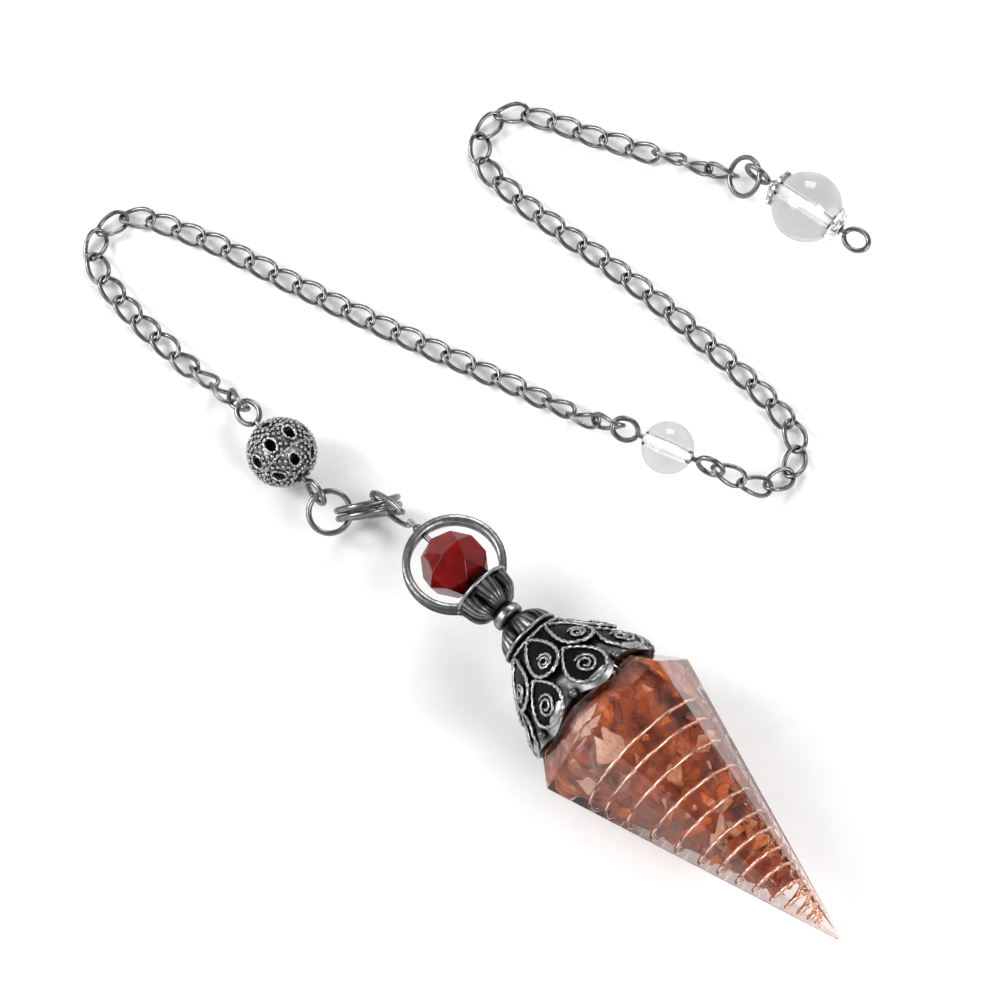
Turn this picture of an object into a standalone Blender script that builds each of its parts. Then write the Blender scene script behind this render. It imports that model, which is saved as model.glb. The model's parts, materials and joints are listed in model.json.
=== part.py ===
"""Pendulum pendant laid on a flat surface.

A clear six-sided resin point under a silver bell cap rests on its girdle edge. Rings, a filigree ball
and two lengths of curb chain lead from it to a small bead and to the finger bead at the far end.
Lengths are metres, +Z is up, and the origin is the centre of the footprint.
"""
import math
import random

import bpy
import bmesh
from mathutils import Matrix, Vector

MM = 0.001
GAP = 0.3 * MM            # clearance between pieces that carry each other

# Resin point, measured along its axis from the tip
POINT_LENGTH = 32.0 * MM          # tip to girdle
POINT_RADIUS = 10.4 * MM          # axis to a girdle corner
POINT_TIP_RADIUS = 0.3 * MM
POINT_WALL = 0.9 * MM             # resin outside the coil
CROWN_HEIGHT = 2.9 * MM           # girdle to the shoulder under the cap
SHOULDER_RADIUS = POINT_RADIUS * 0.79

# Direction of the point on the surface
AXIS_HEADING = 46.2               # degrees between the axis and -X, seen from above
AXIS_RISE = 0.4                   # degrees that the axis rises from tip to ring

# Copper coil and chips in the point
COIL_WIRE = 0.4 * MM
COIL_TURNS = 12
COIL_BOTTOM = POINT_LENGTH * 0.206
COIL_TOP = POINT_LENGTH * 0.894
COIL_CROWDING = 1.35              # above 1 the turns crowd towards the tip
CHIP_SIZE = POINT_RADIUS * 0.25
CHIP_LAYERS = 5
CHIP_CROWDING = 1.2               # above 1 the layers crowd towards the tip
CHIP_TOP = POINT_LENGTH * 0.953
CHIP_BOTTOM = POINT_LENGTH * 0.437
CHIP_SEED = 5

# Bell cap
CAP_WALL = 0.8 * MM
CAP_HEIGHT = 9.5 * MM
CAP_RIM_RADIUS = POINT_RADIUS * 0.76
PETALS = 8                        # in each of the two tiers
PETAL_RELIEF = 0.55 * MM          # height of a petal's rim and scroll over the ground
NOTCH_DEPTH = 1.3 * MM            # between the lobes of the lower rim
LOBE_FLARE = 0.5 * MM

# Stub of resin inside the cap
PLUG_CLEARANCE = 1.1 * MM         # to the cap's wall at the rim
PLUG_RADIUS = CAP_RIM_RADIUS - CAP_WALL - PLUG_CLEARANCE
PLUG_HEIGHT = 4.0 * MM
PLUG_TAPER = 0.87
PLUG_WALL = 0.9 * MM

# Crown cup, collar and lotus cup
CUP_WALL = 0.35 * MM
CROWN_CUP_RADIUS = 3.5 * MM
CROWN_CUP_HEIGHT = 2.9 * MM
COLLAR_RADIUS = 1.75 * MM
COLLAR_NECK = 1.2 * MM
COLLAR_HEIGHT = 1.7 * MM
LOTUS_RADIUS = 3.5 * MM
LOTUS_HEIGHT = 3.3 * MM
LOTUS_DEPTH = 1.12 * MM            # from its rim to its floor
CUP_FLUTES = 10
FLUTE_DEPTH = 0.1                 # share of the cup's radius

# Ring frame and red bead
RING_RADIUS = 5.6 * MM
RING_THICKNESS = 0.85 * MM
RING_DEPTH = 1.6 * MM
RING_SEAT = 0.5 * MM              # soldered into the floor of the lotus cup
BEAD_ROOM = 1.0 * MM              # from the bead to the ring frame's inside, where its pin's head lies
RED_BEAD = 2 * (RING_RADIUS - RING_THICKNESS - BEAD_ROOM)

# Pins and rings
PIN_WIRE = 0.62 * MM
PIN_HEAD = 1.5 * MM
LOOP_LENGTH = 7.4 * MM
LOOP_WIDTH = 4.3 * MM
LOOP_STANDOFF = 1.15 * MM         # clear of the ring frame
LOOP_END_PLACE = Vector((-13.831 * MM, -2.301 * MM, 5.86 * MM))
SPLIT_RING = 7.6 * MM
SPLIT_WIRE = 0.75 * MM
SPLIT_PITCH = 0.9 * MM
JUMP_RING = 5.3 * MM
JUMP_WIRE = 0.65 * MM
END_RING = 5.1 * MM
END_RING_WIRE = 0.6 * MM
EYE_LENGTH = 3.6 * MM
EYE_WIDTH = 3.0 * MM
BALL_EYE_TURNS = (75, 11.5)       # degrees from upright of the eye ahead and of the one behind
SMALL_EYE_TURNS = (60, 15)
END_EYE_TURNS = (-1.5, 75)
STEM = 0.4 * MM                   # wire between a bead and its eye

# Beads
BALL = 8.0 * MM
BALL_SHELL = 0.55 * MM
SMALL_BEAD = 6.0 * MM
END_BEAD = 8.2 * MM
BEAD_CAP = 5.0 * MM
BEAD_CAP_WALL = 0.35 * MM

# Curb chain
LINK_WIRE = 0.52 * MM
LINK_LENGTH = 4.4 * MM
LINK_WIDTH = 2.8 * MM
LINK_SLACK = 0.16 * MM            # by which neighbouring links are pushed together
LINK_PITCH = LINK_LENGTH - 2 * LINK_WIRE - LINK_SLACK
EYE_HOOK = 0.7 * MM               # middle of an end link beyond the eye's wire
RING_HOOK = 1.0 * MM              # and beyond the end ring's wire
LINK_LIFT = 0.6                   # of the wire, half the height between two crossing wires
LINK_OFFSET = 0.13                # of the wire, by which links lie high and low in turn

# Bead centres and the headings of their pins, seen from above
BALL_PLACE = (-24.1 * MM, 4.0 * MM)
BALL_HEADING = 128.6
SMALL_BEAD_PLACE = (18.6 * MM, 5.0 * MM)
SMALL_BEAD_HEADING = 154.0
END_BEAD_PLACE = (35.1 * MM, 34.9 * MM)
END_BEAD_HEADING = 141.9

# Centres of the rings between the ball and the point, and of the end ring from the end bead's place
SPLIT_PLACE = Vector((-14.38 * MM, -2.94 * MM, 4.04 * MM))
SPLIT_NORMAL = Vector((-0.17, 0.89, 0.42))
JUMP_PLACE = Vector((-18.69 * MM, -2.99 * MM, 3.44 * MM))
JUMP_NORMAL = Vector((-0.09, -0.35, 0.93))
END_RING_PLACE = Vector((*END_BEAD_PLACE, 0)) + Vector((-6.87 * MM, 4.73 * MM, 2.77 * MM))
END_RING_NORMAL = Vector((-0.7, -0.27, 0.66))

# Routes of the two chains between their end links: x and y in millimetres, height in millimetres
# above a link that lies on the surface, and the link's turn about the route in degrees
LOWER_ROUTE = [
    (-31.1, 12.45, 0.6, 45),
    (-33.4, 14.6, 0.2, 40),
    (-35.6, 16.6, 0.0, 10),
    (-37.8, 18.8, 0.0, 0),
    (-42.3, 23.4, 0.0, 0),
    (-46.0, 28.7, 0.0, 0),
    (-46.5, 31.8, 0.0, 0),
    (-44.8, 34.4, 0.0, 0),
    (-41.8, 35.4, 0.0, 0),
    (-33.3, 32.2, 0.0, 0),
    (-24.7, 27.4, 0.0, 0),
    (-16.0, 22.7, 0.0, 0),
    (-7.4, 18.3, 0.0, 0),
    (1.3, 13.9, 0.0, -15),
    (6.5, 11.0, 0.1, -30),
    (9.35, 9.4, 0.4, -35),
]
UPPER_ROUTE = [
    (28.0, 0.8, 1.5, -8),
    (30.7, 1.6, 0.5, -4),
    (32.7, 3.8, 0.0, 0),
    (33.1, 7.1, 0.0, 0),
    (31.6, 10.2, 0.0, 0),
    (27.7, 14.8, 0.0, 0),
    (22.9, 19.7, 0.0, 0),
    (18.3, 24.2, 0.0, 0),
    (13.5, 28.4, 0.0, 0),
    (8.4, 32.6, 0.0, 0),
    (3.3, 36.8, 0.0, 0),
    (-1.1, 41.4, 0.0, 0),
    (-2.3, 44.4, 0.0, 0),
    (-1.5, 47.3, 0.0, 0),
    (0.9, 49.2, 0.0, 0),
    (4.0, 48.9, 0.0, 0),
    (10.0, 46.6, 0.0, 0),
    (16.4, 44.3, 0.0, 0),
    (19.5, 43.2, 0.0, -45),
    (22.5, 42.1, 0.0, -38),
]
BALL_LINK_TURN = 100.0            # turns of the four end links about their route
LOWER_EYE_LINK_TURN = -90.0
UPPER_EYE_LINK_TURN = -10.0
RING_LINK_TURN = -88.0


# Mesh tools

def material(name, colour, roughness, metallic, transmission=0.0):
    """One Principled material."""
    found = bpy.data.materials.new(name)
    found.use_nodes = True
    shader = found.node_tree.nodes["Principled BSDF"]
    shader.inputs["Base Color"].default_value = (*colour, 1.0)
    shader.inputs["Roughness"].default_value = roughness
    shader.inputs["Metallic"].default_value = metallic
    shader.inputs["Transmission Weight"].default_value = transmission
    found.diffuse_color = (*colour, 1.0)
    return found


def build(name, shape, finish, parent=None, smooth=True, split=False):
    """Make an object of a shape, which is a list of points and a list of faces. split cuts the faces
    into triangles, which a Boolean needs where they aren't flat."""
    points, faces = shape
    mesh = bpy.data.meshes.new(name)
    mesh.from_pydata([tuple(point) for point in points], [], faces)
    work = bmesh.new()
    work.from_mesh(mesh)
    bmesh.ops.recalc_face_normals(work, faces=work.faces)
    if split:
        bmesh.ops.triangulate(work, faces=work.faces)
    work.to_mesh(mesh)
    work.free()
    if smooth:
        mesh.shade_smooth()
        mesh.set_sharp_from_angle(angle=math.radians(40))
    made = bpy.data.objects.new(name, mesh)
    bpy.context.scene.collection.objects.link(made)
    made.parent = parent
    if finish:
        mesh.materials.append(finish)
    return made


def combine(target, name, shape, operation):
    """Join a shape to an object, or cut it away, with a Boolean modifier."""
    tool = build(name, shape, None, target.parent, split=True)
    tool.matrix_local = target.matrix_local
    tool.hide_render = True
    tool.display_type = "WIRE"
    boolean = target.modifiers.new(name, "BOOLEAN")
    boolean.operation = operation
    boolean.solver = "EXACT"
    boolean.object = tool


def settle(made):
    """Split the faces that the Booleans leave into triangles."""
    made.modifiers.new("triangles", "TRIANGULATE")


def together(shapes):
    """One shape that holds several."""
    points = []
    faces = []
    for more_points, more_faces in shapes:
        first = len(points)
        points += more_points
        faces += [[first + index for index in face] for face in more_faces]
    return points, faces


def moved(shape, matrix):
    """A shape carried by a matrix."""
    points, faces = shape
    return [matrix @ Vector(point) for point in points], faces


def grid_faces(rows, columns, wrap_rows):
    """Quads of a grid whose columns always close into a ring."""
    faces = []
    for row in range(rows if wrap_rows else rows - 1):
        upper = (row + 1) % rows
        for column in range(columns):
            after = (column + 1) % columns
            faces.append([row * columns + column, row * columns + after,
                          upper * columns + after, upper * columns + column])
    return faces


def turned(profile, sides, shape_of=None):
    """Turn a profile of (radius, height) about Z. A profile that starts and ends on the axis is closed
    by its poles, and any other one is closed into a ring. shape_of(point number, side number) gives
    the share of the radius and the rise of a point."""
    open_ends = profile[0][0] == 0 and profile[-1][0] == 0
    rows = profile[1:-1] if open_ends else profile
    points = []
    for row, (radius, height) in enumerate(rows):
        for side in range(sides):
            angle = 2 * math.pi * side / sides
            share, rise = shape_of(row, side) if shape_of else (1.0, 0.0)
            points.append(Vector((radius * share * math.cos(angle), radius * share * math.sin(angle),
                                  height + rise)))
    faces = grid_faces(len(rows), sides, not open_ends)
    if open_ends:
        points.append(Vector((0, 0, profile[0][1])))
        points.append(Vector((0, 0, profile[-1][1])))
        last = (len(rows) - 1) * sides
        for side in range(sides):
            after = (side + 1) % sides
            faces.append([side, after, len(points) - 2])
            faces.append([last + side, last + after, len(points) - 1])
    return points, faces


def swept(path, wire, sides, closed, normal=Vector((0, 0, 1))):
    """Round wire along a path. normal is any direction that the path's first step isn't along."""
    count = len(path)
    tangents = []
    bends = []
    for index in range(count):
        before = path[index] - path[index - 1] if closed or index else path[1] - path[0]
        after = (path[(index + 1) % count] - path[index]) if closed or index < count - 1 else before
        before = before.normalized()
        after = after.normalized()
        tangents.append((before + after).normalized())
        bends.append((after - before, math.sqrt(2 / max(0.4, 1 + before.dot(after)))))
    side_way = [normal - normal.dot(tangents[0]) * tangents[0]]
    for index in range(1, count + 1):
        tangent = tangents[index % count]
        side_way.append(side_way[-1] - side_way[-1].dot(tangent) * tangent)
    drift = side_way[0].normalized().cross(side_way[count].normalized()).dot(tangents[0])
    twist = math.asin(max(-1.0, min(1.0, drift))) if closed else 0.0
    points = []
    for index in range(count):
        tangent = tangents[index]
        across = side_way[index].normalized()
        over = tangent.cross(across)
        bend, stretch = bends[index]
        for side in range(sides):
            angle = 2 * math.pi * side / sides - twist * index / count
            arm = (across * math.cos(angle) + over * math.sin(angle)) * wire / 2
            if bend.length > 1e-6:
                outward = bend.normalized()
                arm += outward * outward.dot(arm) * (stretch - 1)
            points.append(path[index] + arm)
    faces = grid_faces(count, sides, closed)
    if not closed:
        faces.append(list(range(sides)))
        faces.append(list(range((count - 1) * sides, count * sides)))
    return points, faces


def facing(normal, along):
    """Rotation whose Z is normal and whose X is as near along as it can be."""
    up = normal.normalized()
    ahead = (along - along.dot(up) * up).normalized()
    return Matrix((ahead, up.cross(ahead), up)).transposed().to_4x4()


def heading(degrees):
    """Level direction at an angle from +X, seen from above."""
    return Vector((math.cos(math.radians(degrees)), math.sin(math.radians(degrees)), 0))


def empty(name, matrix, parent=None):
    """Empty that carries the pieces of one frame."""
    holder = bpy.data.objects.new(name, None)
    bpy.context.scene.collection.objects.link(holder)
    holder.parent = parent
    holder.matrix_local = matrix
    return holder


def ring_path(diameter, wire, count):
    """Centre line of a round ring in the XY plane."""
    radius = (diameter - wire) / 2
    return [Vector((radius * math.cos(2 * math.pi * step / count),
                    radius * math.sin(2 * math.pi * step / count), 0)) for step in range(count)]


# Frame of the point: Z along its axis from the tip, Y up

HEX = math.cos(math.pi / 6)
FLAT_SLOPE = math.atan((POINT_RADIUS - POINT_TIP_RADIUS) * HEX / POINT_LENGTH)
SHOULDER = POINT_LENGTH + CROWN_HEIGHT
CAP_BOTTOM = SHOULDER + GAP
CAP_TOP = CAP_BOTTOM + CAP_HEIGHT
CROWN_RIM = CAP_TOP + GAP
COLLAR_BOTTOM = CROWN_RIM + CROWN_CUP_HEIGHT
LOTUS_BOTTOM = COLLAR_BOTTOM + COLLAR_HEIGHT
LOTUS_RIM = LOTUS_BOTTOM + LOTUS_HEIGHT
LOTUS_FLOOR = LOTUS_RIM - LOTUS_DEPTH
RING_CENTRE = LOTUS_FLOOR - RING_SEAT + RING_RADIUS
RING_TOP = RING_CENTRE + RING_RADIUS
LOOP_NECK = RING_TOP + PIN_WIRE / 2 + LOOP_STANDOFF
LOOP_REACH = LOOP_LENGTH - PIN_WIRE


def tip_height():
    """Height of the point's tip when its lower facet lies on the surface."""
    rise = math.radians(AXIS_RISE)
    return POINT_RADIUS * HEX * math.cos(rise) - POINT_LENGTH * math.sin(rise)


def loop_droop():
    """Angle below the horizontal at which the large loop comes down to its far end."""
    neck_height = tip_height() + LOOP_NECK * math.sin(math.radians(AXIS_RISE))
    return math.asin((neck_height - LOOP_END_PLACE.z) / LOOP_REACH)


def point_frame():
    """Matrix of the point's frame on the surface, placed by the far end of its loop."""
    rise = math.radians(AXIS_RISE)
    level = heading(180 - AXIS_HEADING)
    axis = level * math.cos(rise) + Vector((0, 0, math.sin(rise)))
    up = (Vector((0, 0, 1)) - axis.z * axis).normalized()
    turn = Matrix((up.cross(axis), up, axis)).transposed().to_4x4()
    tip = LOOP_END_PLACE - level * (LOOP_NECK * math.cos(rise) + LOOP_REACH * math.cos(loop_droop()))
    tip.z = tip_height()
    return Matrix.Translation(tip) @ turn


def pocket_radius(place):
    """Half the width across flats of the hollow round the coil, at a height above the tip."""
    return place * math.tan(FLAT_SLOPE) - POINT_WALL / math.cos(FLAT_SLOPE)


def resin_shape():
    """Six-sided point, crown and plug, with the hollow open at the top of the plug."""
    pocket_tip = (POINT_WALL / math.sin(FLAT_SLOPE)) + POINT_WALL
    plug_top = SHOULDER + PLUG_HEIGHT
    belly = POINT_LENGTH - POINT_WALL
    throat = PLUG_RADIUS - PLUG_WALL / HEX
    outside = [(POINT_TIP_RADIUS, 0.0), (POINT_RADIUS, POINT_LENGTH), (SHOULDER_RADIUS, SHOULDER),
               (PLUG_RADIUS, SHOULDER), (PLUG_RADIUS * PLUG_TAPER, plug_top)]
    inside = [(PLUG_RADIUS * PLUG_TAPER - PLUG_WALL / HEX, plug_top), (throat, SHOULDER),
              (pocket_radius(belly) / HEX, belly), (pocket_radius(pocket_tip) / HEX, pocket_tip)]
    return turned([(0, 0.0)] + outside + inside + [(0, pocket_tip)], 6)


def coil_shape():
    """Conical coil that follows the hollow's sides, closer turns towards the tip."""
    steps = 8 * COIL_TURNS
    path = []
    for step in range(steps + 1):
        share = step / steps
        place = COIL_BOTTOM + (COIL_TOP - COIL_BOTTOM) * share ** COIL_CROWDING
        radius = pocket_radius(place) - GAP * 1.2 - COIL_WIRE / 2
        angle = 2 * math.pi * COIL_TURNS * share
        path.append(Vector((radius * math.cos(angle), radius * math.sin(angle), place)))
    return swept(path, COIL_WIRE, 4, False)


def chip_shape(place, size, turn, chance):
    """One broken chip, an uneven twenty-sided lump that is longest along the turn's Z."""
    lump = bmesh.new()
    bmesh.ops.create_icosphere(lump, subdivisions=1, radius=1.0)
    stretch = Matrix.Diagonal((chance.uniform(0.6, 0.9), chance.uniform(0.7, 0.9), 1.0, 1.0))
    points = [place + (turn @ stretch @ corner.co) * size / 2 for corner in lump.verts]
    faces = [[corner.index for corner in face.verts] for face in lump.faces]
    lump.free()
    return points, faces


def chips_shape():
    """Chips in layers that narrow towards the tip."""
    chance = random.Random(CHIP_SEED)
    chips = []
    for layer in range(CHIP_LAYERS):
        share = (layer / (CHIP_LAYERS - 1)) ** CHIP_CROWDING
        place = CHIP_BOTTOM + (CHIP_TOP - CHIP_BOTTOM) * share
        room = pocket_radius(min(place, COIL_TOP) - CHIP_SIZE / 2) - 2 * GAP - COIL_WIRE
        size = min(CHIP_SIZE * 1.9, room * 1.5)
        twist = Matrix.Rotation(0.4 * layer, 4, "Z")
        chips.append(chip_shape(Vector((0, 0, place)), size * 1.55, twist, chance))
        spread = room - size / 2
        if spread > CHIP_SIZE / 2:
            for number in range(2):
                angle = math.pi * (number + 0.35 * layer)
                spot = Vector((spread * math.cos(angle), spread * math.sin(angle), place))
                lean = Vector((chance.uniform(-1, 1), chance.uniform(-1, 1), 1))
                turn = Matrix.Rotation(chance.uniform(0, 3), 4, lean)
                chips.append(chip_shape(spot, size, turn, chance))
    return chips


# Bell cap. Each row is a share of the height from the top, the ground's share of the rim radius, and
# the relief from the middle of a petal to the groove beside it, in shares of the petal relief. The
# upper tier's petals stand over the lower tier's grooves.

NECK_ROWS = [(0.0, 0.42, (0, 0, 0, 0)), (0.07, 0.42, (0, 0, 0, 0))]
UPPER_ROWS = [(0.12, 0.47, (0.6, 0.3, 0, 0)), (0.20, 0.56, (0.4, 0.8, 0.5, 0)),
              (0.32, 0.65, (0.9, 0.3, 1.0, 0.1)), (0.43, 0.72, (0.4, 0.5, 1.0, 0.1)),
              (0.50, 0.76, (1.0, 0.8, 0.3, 0.2))]
LOWER_ROWS = [(0.57, 0.81, (0.6, 0.9, 0.5, 0)), (0.67, 0.87, (0.9, 0.3, 1.0, 0.1)),
              (0.77, 0.93, (0.5, 0.6, 1.0, 0.1)), (0.85, 0.98, (0.9, 0.7, 0.4, 0))]
MARGIN_ROWS = [(0.92, 1.0, (0.9, 0.7, 0.3, 0)), (1.0, 1.0, (0, 0, 0, 0))]
COLUMNS = 6                       # of the mesh to a petal


def bell_shape():
    """Hollow bell with a closed top, two tiers of raised petals and a lobed, flared lower rim."""
    rows = [(0, 0.0)]
    relief = []
    for tier, shift in ((NECK_ROWS, 0), (UPPER_ROWS, COLUMNS // 2), (LOWER_ROWS, 0), (MARGIN_ROWS, 0)):
        for share, radius, heights in tier:
            rows.append((CAP_RIM_RADIUS * radius, CAP_HEIGHT * share))
            relief.append((heights, shift))
    inner = [(radius - CAP_WALL, down) for radius, down in rows[:2:-3]]
    profile = [(radius, CAP_TOP - down) for radius, down in rows + inner]
    profile.append((0, profile[-1][1]))
    last = len(relief) - 1

    def petals(row, side):
        if row > last:
            return 1.0, NOTCH_DEPTH * edge_share(side) if row == last + 1 else 0.0
        heights, shift = relief[row]
        column = abs((side + shift + COLUMNS // 2) % COLUMNS - COLUMNS // 2)
        raised = heights[column] * PETAL_RELIEF
        if row >= last - 1:
            raised += LOBE_FLARE * (1 - edge_share(side))
        return 1.0 + raised / rows[row + 1][0], NOTCH_DEPTH * edge_share(side) if row == last else 0.0

    return turned(profile, COLUMNS * PETALS, petals)


def edge_share(side):
    """Share of the notch's depth at a side of the cap: 0 in the middle of a lobe, 1 between two."""
    return (1 - math.cos(2 * math.pi * side / COLUMNS)) / 2


# Crown cup, collar, lotus cup and ring frame, one casting

def cups_shape():
    """Inverted fluted cup, collar and fluted lotus cup, turned in one."""
    crown = [(1.0, 0.0), (0.97, 0.25), (0.84, 0.6), (0.58, 0.88)]
    lotus = [(0.66, 0.1), (0.86, 0.32), (0.95, 0.66), (1.0, 1.0)]
    outer = [(CROWN_CUP_RADIUS * share, CROWN_RIM + CROWN_CUP_HEIGHT * rise) for share, rise in crown]
    outer += [(COLLAR_NECK, COLLAR_BOTTOM),
              (COLLAR_RADIUS, COLLAR_BOTTOM + COLLAR_HEIGHT * 0.3),
              (COLLAR_RADIUS, COLLAR_BOTTOM + COLLAR_HEIGHT * 0.65),
              (COLLAR_NECK, LOTUS_BOTTOM)]
    outer += [(LOTUS_RADIUS * share, LOTUS_BOTTOM + LOTUS_HEIGHT * rise) for share, rise in lotus]
    under = [(0, CROWN_RIM)]
    inner = [(LOTUS_RADIUS * (1 - FLUTE_DEPTH) - CUP_WALL, LOTUS_RIM), (LOTUS_RADIUS * 0.6, LOTUS_FLOOR),
             (0, LOTUS_FLOOR)]
    fluted = {0, 1, 2, 8, 9, 10, 11}

    def flutes(row, side):
        return (1.0 - FLUTE_DEPTH * (side % 2), 0.0) if row in fluted else (1.0, 0.0)

    return turned(under + outer + inner, 2 * CUP_FLUTES, flutes)


def ring_frame_shape():
    """Flat band ring whose axis is the frame's Y."""
    half = RING_DEPTH / 2
    inner = RING_RADIUS - RING_THICKNESS
    band = turned([(RING_RADIUS, -half), (RING_RADIUS, half), (inner, half), (inner, -half)], 24)
    upright = Matrix.Translation(Vector((0, 0, RING_CENTRE))) @ Matrix.Rotation(math.pi / 2, 4, "X")
    return moved(band, upright)


def rod_shape(radius, bottom, top, sides=12):
    """Plain rod along Z."""
    return turned([(0, bottom), (radius, bottom), (radius, top), (0, top)], sides)


def faceted_bead_shape():
    """Star-cut bead: triangles and pentagons through the middles of an icosahedron's edges."""
    work = bmesh.new()
    bmesh.ops.create_icosphere(work, subdivisions=1, radius=1.0)
    middles = [(edge.verts[0].co + edge.verts[1].co).normalized() * RED_BEAD / 2 for edge in work.edges]
    work.free()
    hull = bmesh.new()
    for middle in middles:
        hull.verts.new(middle)
    bmesh.ops.convex_hull(hull, input=hull.verts)
    bmesh.ops.dissolve_limit(hull, angle_limit=math.radians(1), verts=hull.verts, edges=hull.edges)
    hull.verts.ensure_lookup_table()
    points = [corner.co.copy() for corner in hull.verts]
    faces = [[corner.index for corner in face.verts] for face in hull.faces]
    hull.free()
    return points, faces


def bead_pin_path(loop_frame):
    """Centre line of the pin: up through the bead and the ring, then once round the big loop."""
    bottom = RING_CENTRE - RED_BEAD / 2 - GAP
    path = [Vector((0, 0, bottom))]
    half_length = LOOP_REACH / 2
    half_width = (LOOP_WIDTH - PIN_WIRE) / 2
    for step in range(15):
        turn = math.radians(-90 - 325 * step / 14)
        away = half_length * (1 + math.sin(turn))
        path.append(loop_frame @ Vector((half_width * math.cos(turn), 0, away)))
    return path


# Beads, their pins and rings

def round_bead_shape(diameter, bore, sides=12, bands=7):
    """Round drilled bead about Z."""
    radius = diameter / 2
    lean = math.asin(bore / diameter)
    profile = []
    for band in range(bands + 1):
        angle = lean + (math.pi - 2 * lean) * band / bands
        profile.append((radius * math.sin(angle), radius * math.cos(angle)))
    return turned(profile, sides)


def filigree_shape():
    """Pierced shell: rings of openings between solid bands, and a hole at each pole for the pin."""
    sides = 16
    bands = 7
    outer = BALL / 2
    polar = math.asin((PIN_WIRE + 4 * GAP) / BALL)
    work = bmesh.new()
    rows = []
    for row in range(bands + 1):
        angle = polar + (math.pi - 2 * polar) * row / bands
        rows.append([work.verts.new((outer * math.sin(angle) * math.cos(2 * math.pi * side / sides),
                                     outer * math.sin(angle) * math.sin(2 * math.pi * side / sides),
                                     outer * math.cos(angle))) for side in range(sides)])
    for row in range(bands):
        for side in range(sides):
            if row % 2 == 1 and (side + row // 2) % 2 == 0:
                continue
            after = (side + 1) % sides
            work.faces.new((rows[row][side], rows[row + 1][side], rows[row + 1][after], rows[row][after]))
    work.verts.index_update()
    points = [corner.co.copy() for corner in work.verts]
    faces = [[corner.index for corner in face.verts] for face in work.faces]
    work.free()
    return points, faces


def eye_points(reach, away, roll):
    """Centre line of one eye: from the stem's end round an oval, nearly back to the stem. reach is
    where the eye starts, away the sign of its direction along Z, roll its turn about Z in degrees."""
    half_length = (EYE_LENGTH - PIN_WIRE) / 2
    half_width = (EYE_WIDTH - PIN_WIRE) / 2
    side = Vector((math.cos(math.radians(roll)), math.sin(math.radians(roll)), 0))
    path = []
    for step in range(10):
        turn = math.radians(-90 + 312 * step / 9)
        rise = reach + half_length * (1 + math.sin(turn))
        path.append(side * (half_width * math.cos(turn)) + Vector((0, 0, away * rise)))
    return path


def double_eye_shape(reach, near_roll, far_roll):
    """Pin with an eye at each end, through a bead whose ends are reach from its middle."""
    start = reach + STEM + PIN_WIRE / 2
    far = eye_points(start, -1, far_roll)
    near = eye_points(start, 1, near_roll)
    return swept(far[::-1] + near, PIN_WIRE, 5, False, Vector((0.3, 0.2, 1)))


def eye_wire(place, direction, reach):
    """Middle of the outermost wire of a pin's eye, for a bead centre and the pin's direction."""
    return place + direction * (reach + STEM + EYE_LENGTH - PIN_WIRE / 2)


def split_ring_shape():
    """Two turns of wire, side by side."""
    radius = (SPLIT_RING - SPLIT_WIRE) / 2
    steps = 28
    path = []
    for step in range(steps + 1):
        share = step / steps
        angle = math.radians(20 + 690 * share)
        rise = SPLIT_PITCH * 1.92 * (share - 0.5)
        path.append(Vector((radius * math.cos(angle), radius * math.sin(angle), rise)))
    return swept(path, SPLIT_WIRE, 5, False)


def bead_cap_shape(bead, away):
    """Flower cap of eight petals over the end of a bead, along Z in the direction away."""
    inside = bead / 2 + GAP * 1.1
    outside = inside + BEAD_CAP_WALL
    bore = PIN_WIRE / 2 + GAP
    lean = math.asin(BEAD_CAP / 2 / outside)
    profile = []
    for radius, shares in ((outside, (0, 0.5, 1.0)), (inside, (1.0, 0.5, 0))):
        for share in shares:
            angle = math.asin(bore / radius) * (1 - share) + lean * share
            profile.append((radius * math.sin(angle), away * radius * math.cos(angle)))

    def petals(row, side):
        if row in {2, 3}:
            return (1.0, 0.0) if side % 2 else (0.8, away * BEAD_CAP * 0.06)
        return 1.0, 0.0

    return turned(profile, 16, petals)


# Curb chain

def smooth_route(stations):
    """Points of a smooth curve through the stations, each (place, turn of the link)."""
    fine = []
    last = len(stations) - 1
    for index in range(last):
        p0, p1, p2, p3 = (stations[max(0, min(last, index + shift))] for shift in (-1, 0, 1, 2))
        for step in range(12):
            t = step / 12
            weights = ((-t + 2 * t ** 2 - t ** 3) / 2, (2 - 5 * t ** 2 + 3 * t ** 3) / 2,
                       (t + 4 * t ** 2 - 3 * t ** 3) / 2, (t ** 3 - t ** 2) / 2)
            fine.append(sum((weight * four for weight, four in zip(weights, (p0, p1, p2, p3))),
                            Vector((0, 0, 0, 0))))
    fine.append(stations[-1])
    return fine


def link_places(stations):
    """Evenly spaced links along the route: place, direction and turn of each."""
    fine = smooth_route(stations)
    lengths = [0.0]
    for first, second in zip(fine, fine[1:]):
        lengths.append(lengths[-1] + (second.xyz - first.xyz).length)
    count = max(2, round(lengths[-1] / LINK_PITCH))
    places = []
    for number in range(count + 1):
        goal = lengths[-1] * number / count
        index = max(i for i in range(len(fine) - 1) if lengths[i] <= goal + 1e-9)
        share = (goal - lengths[index]) / (lengths[index + 1] - lengths[index])
        places.append(fine[index].lerp(fine[index + 1], share))
    links = []
    for number, place in enumerate(places):
        before = places[max(0, number - 1)].xyz
        after = places[min(count, number + 1)].xyz
        links.append((place.xyz, (after - before).normalized(), place.w))
    return links


def link_lift():
    """Height of the bend in a link that carries it over and under its neighbours."""
    crossing = math.acos(LINK_PITCH / (LINK_LENGTH - LINK_WIRE))
    return LINK_LIFT * LINK_WIRE / math.sin(2 * crossing)


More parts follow.
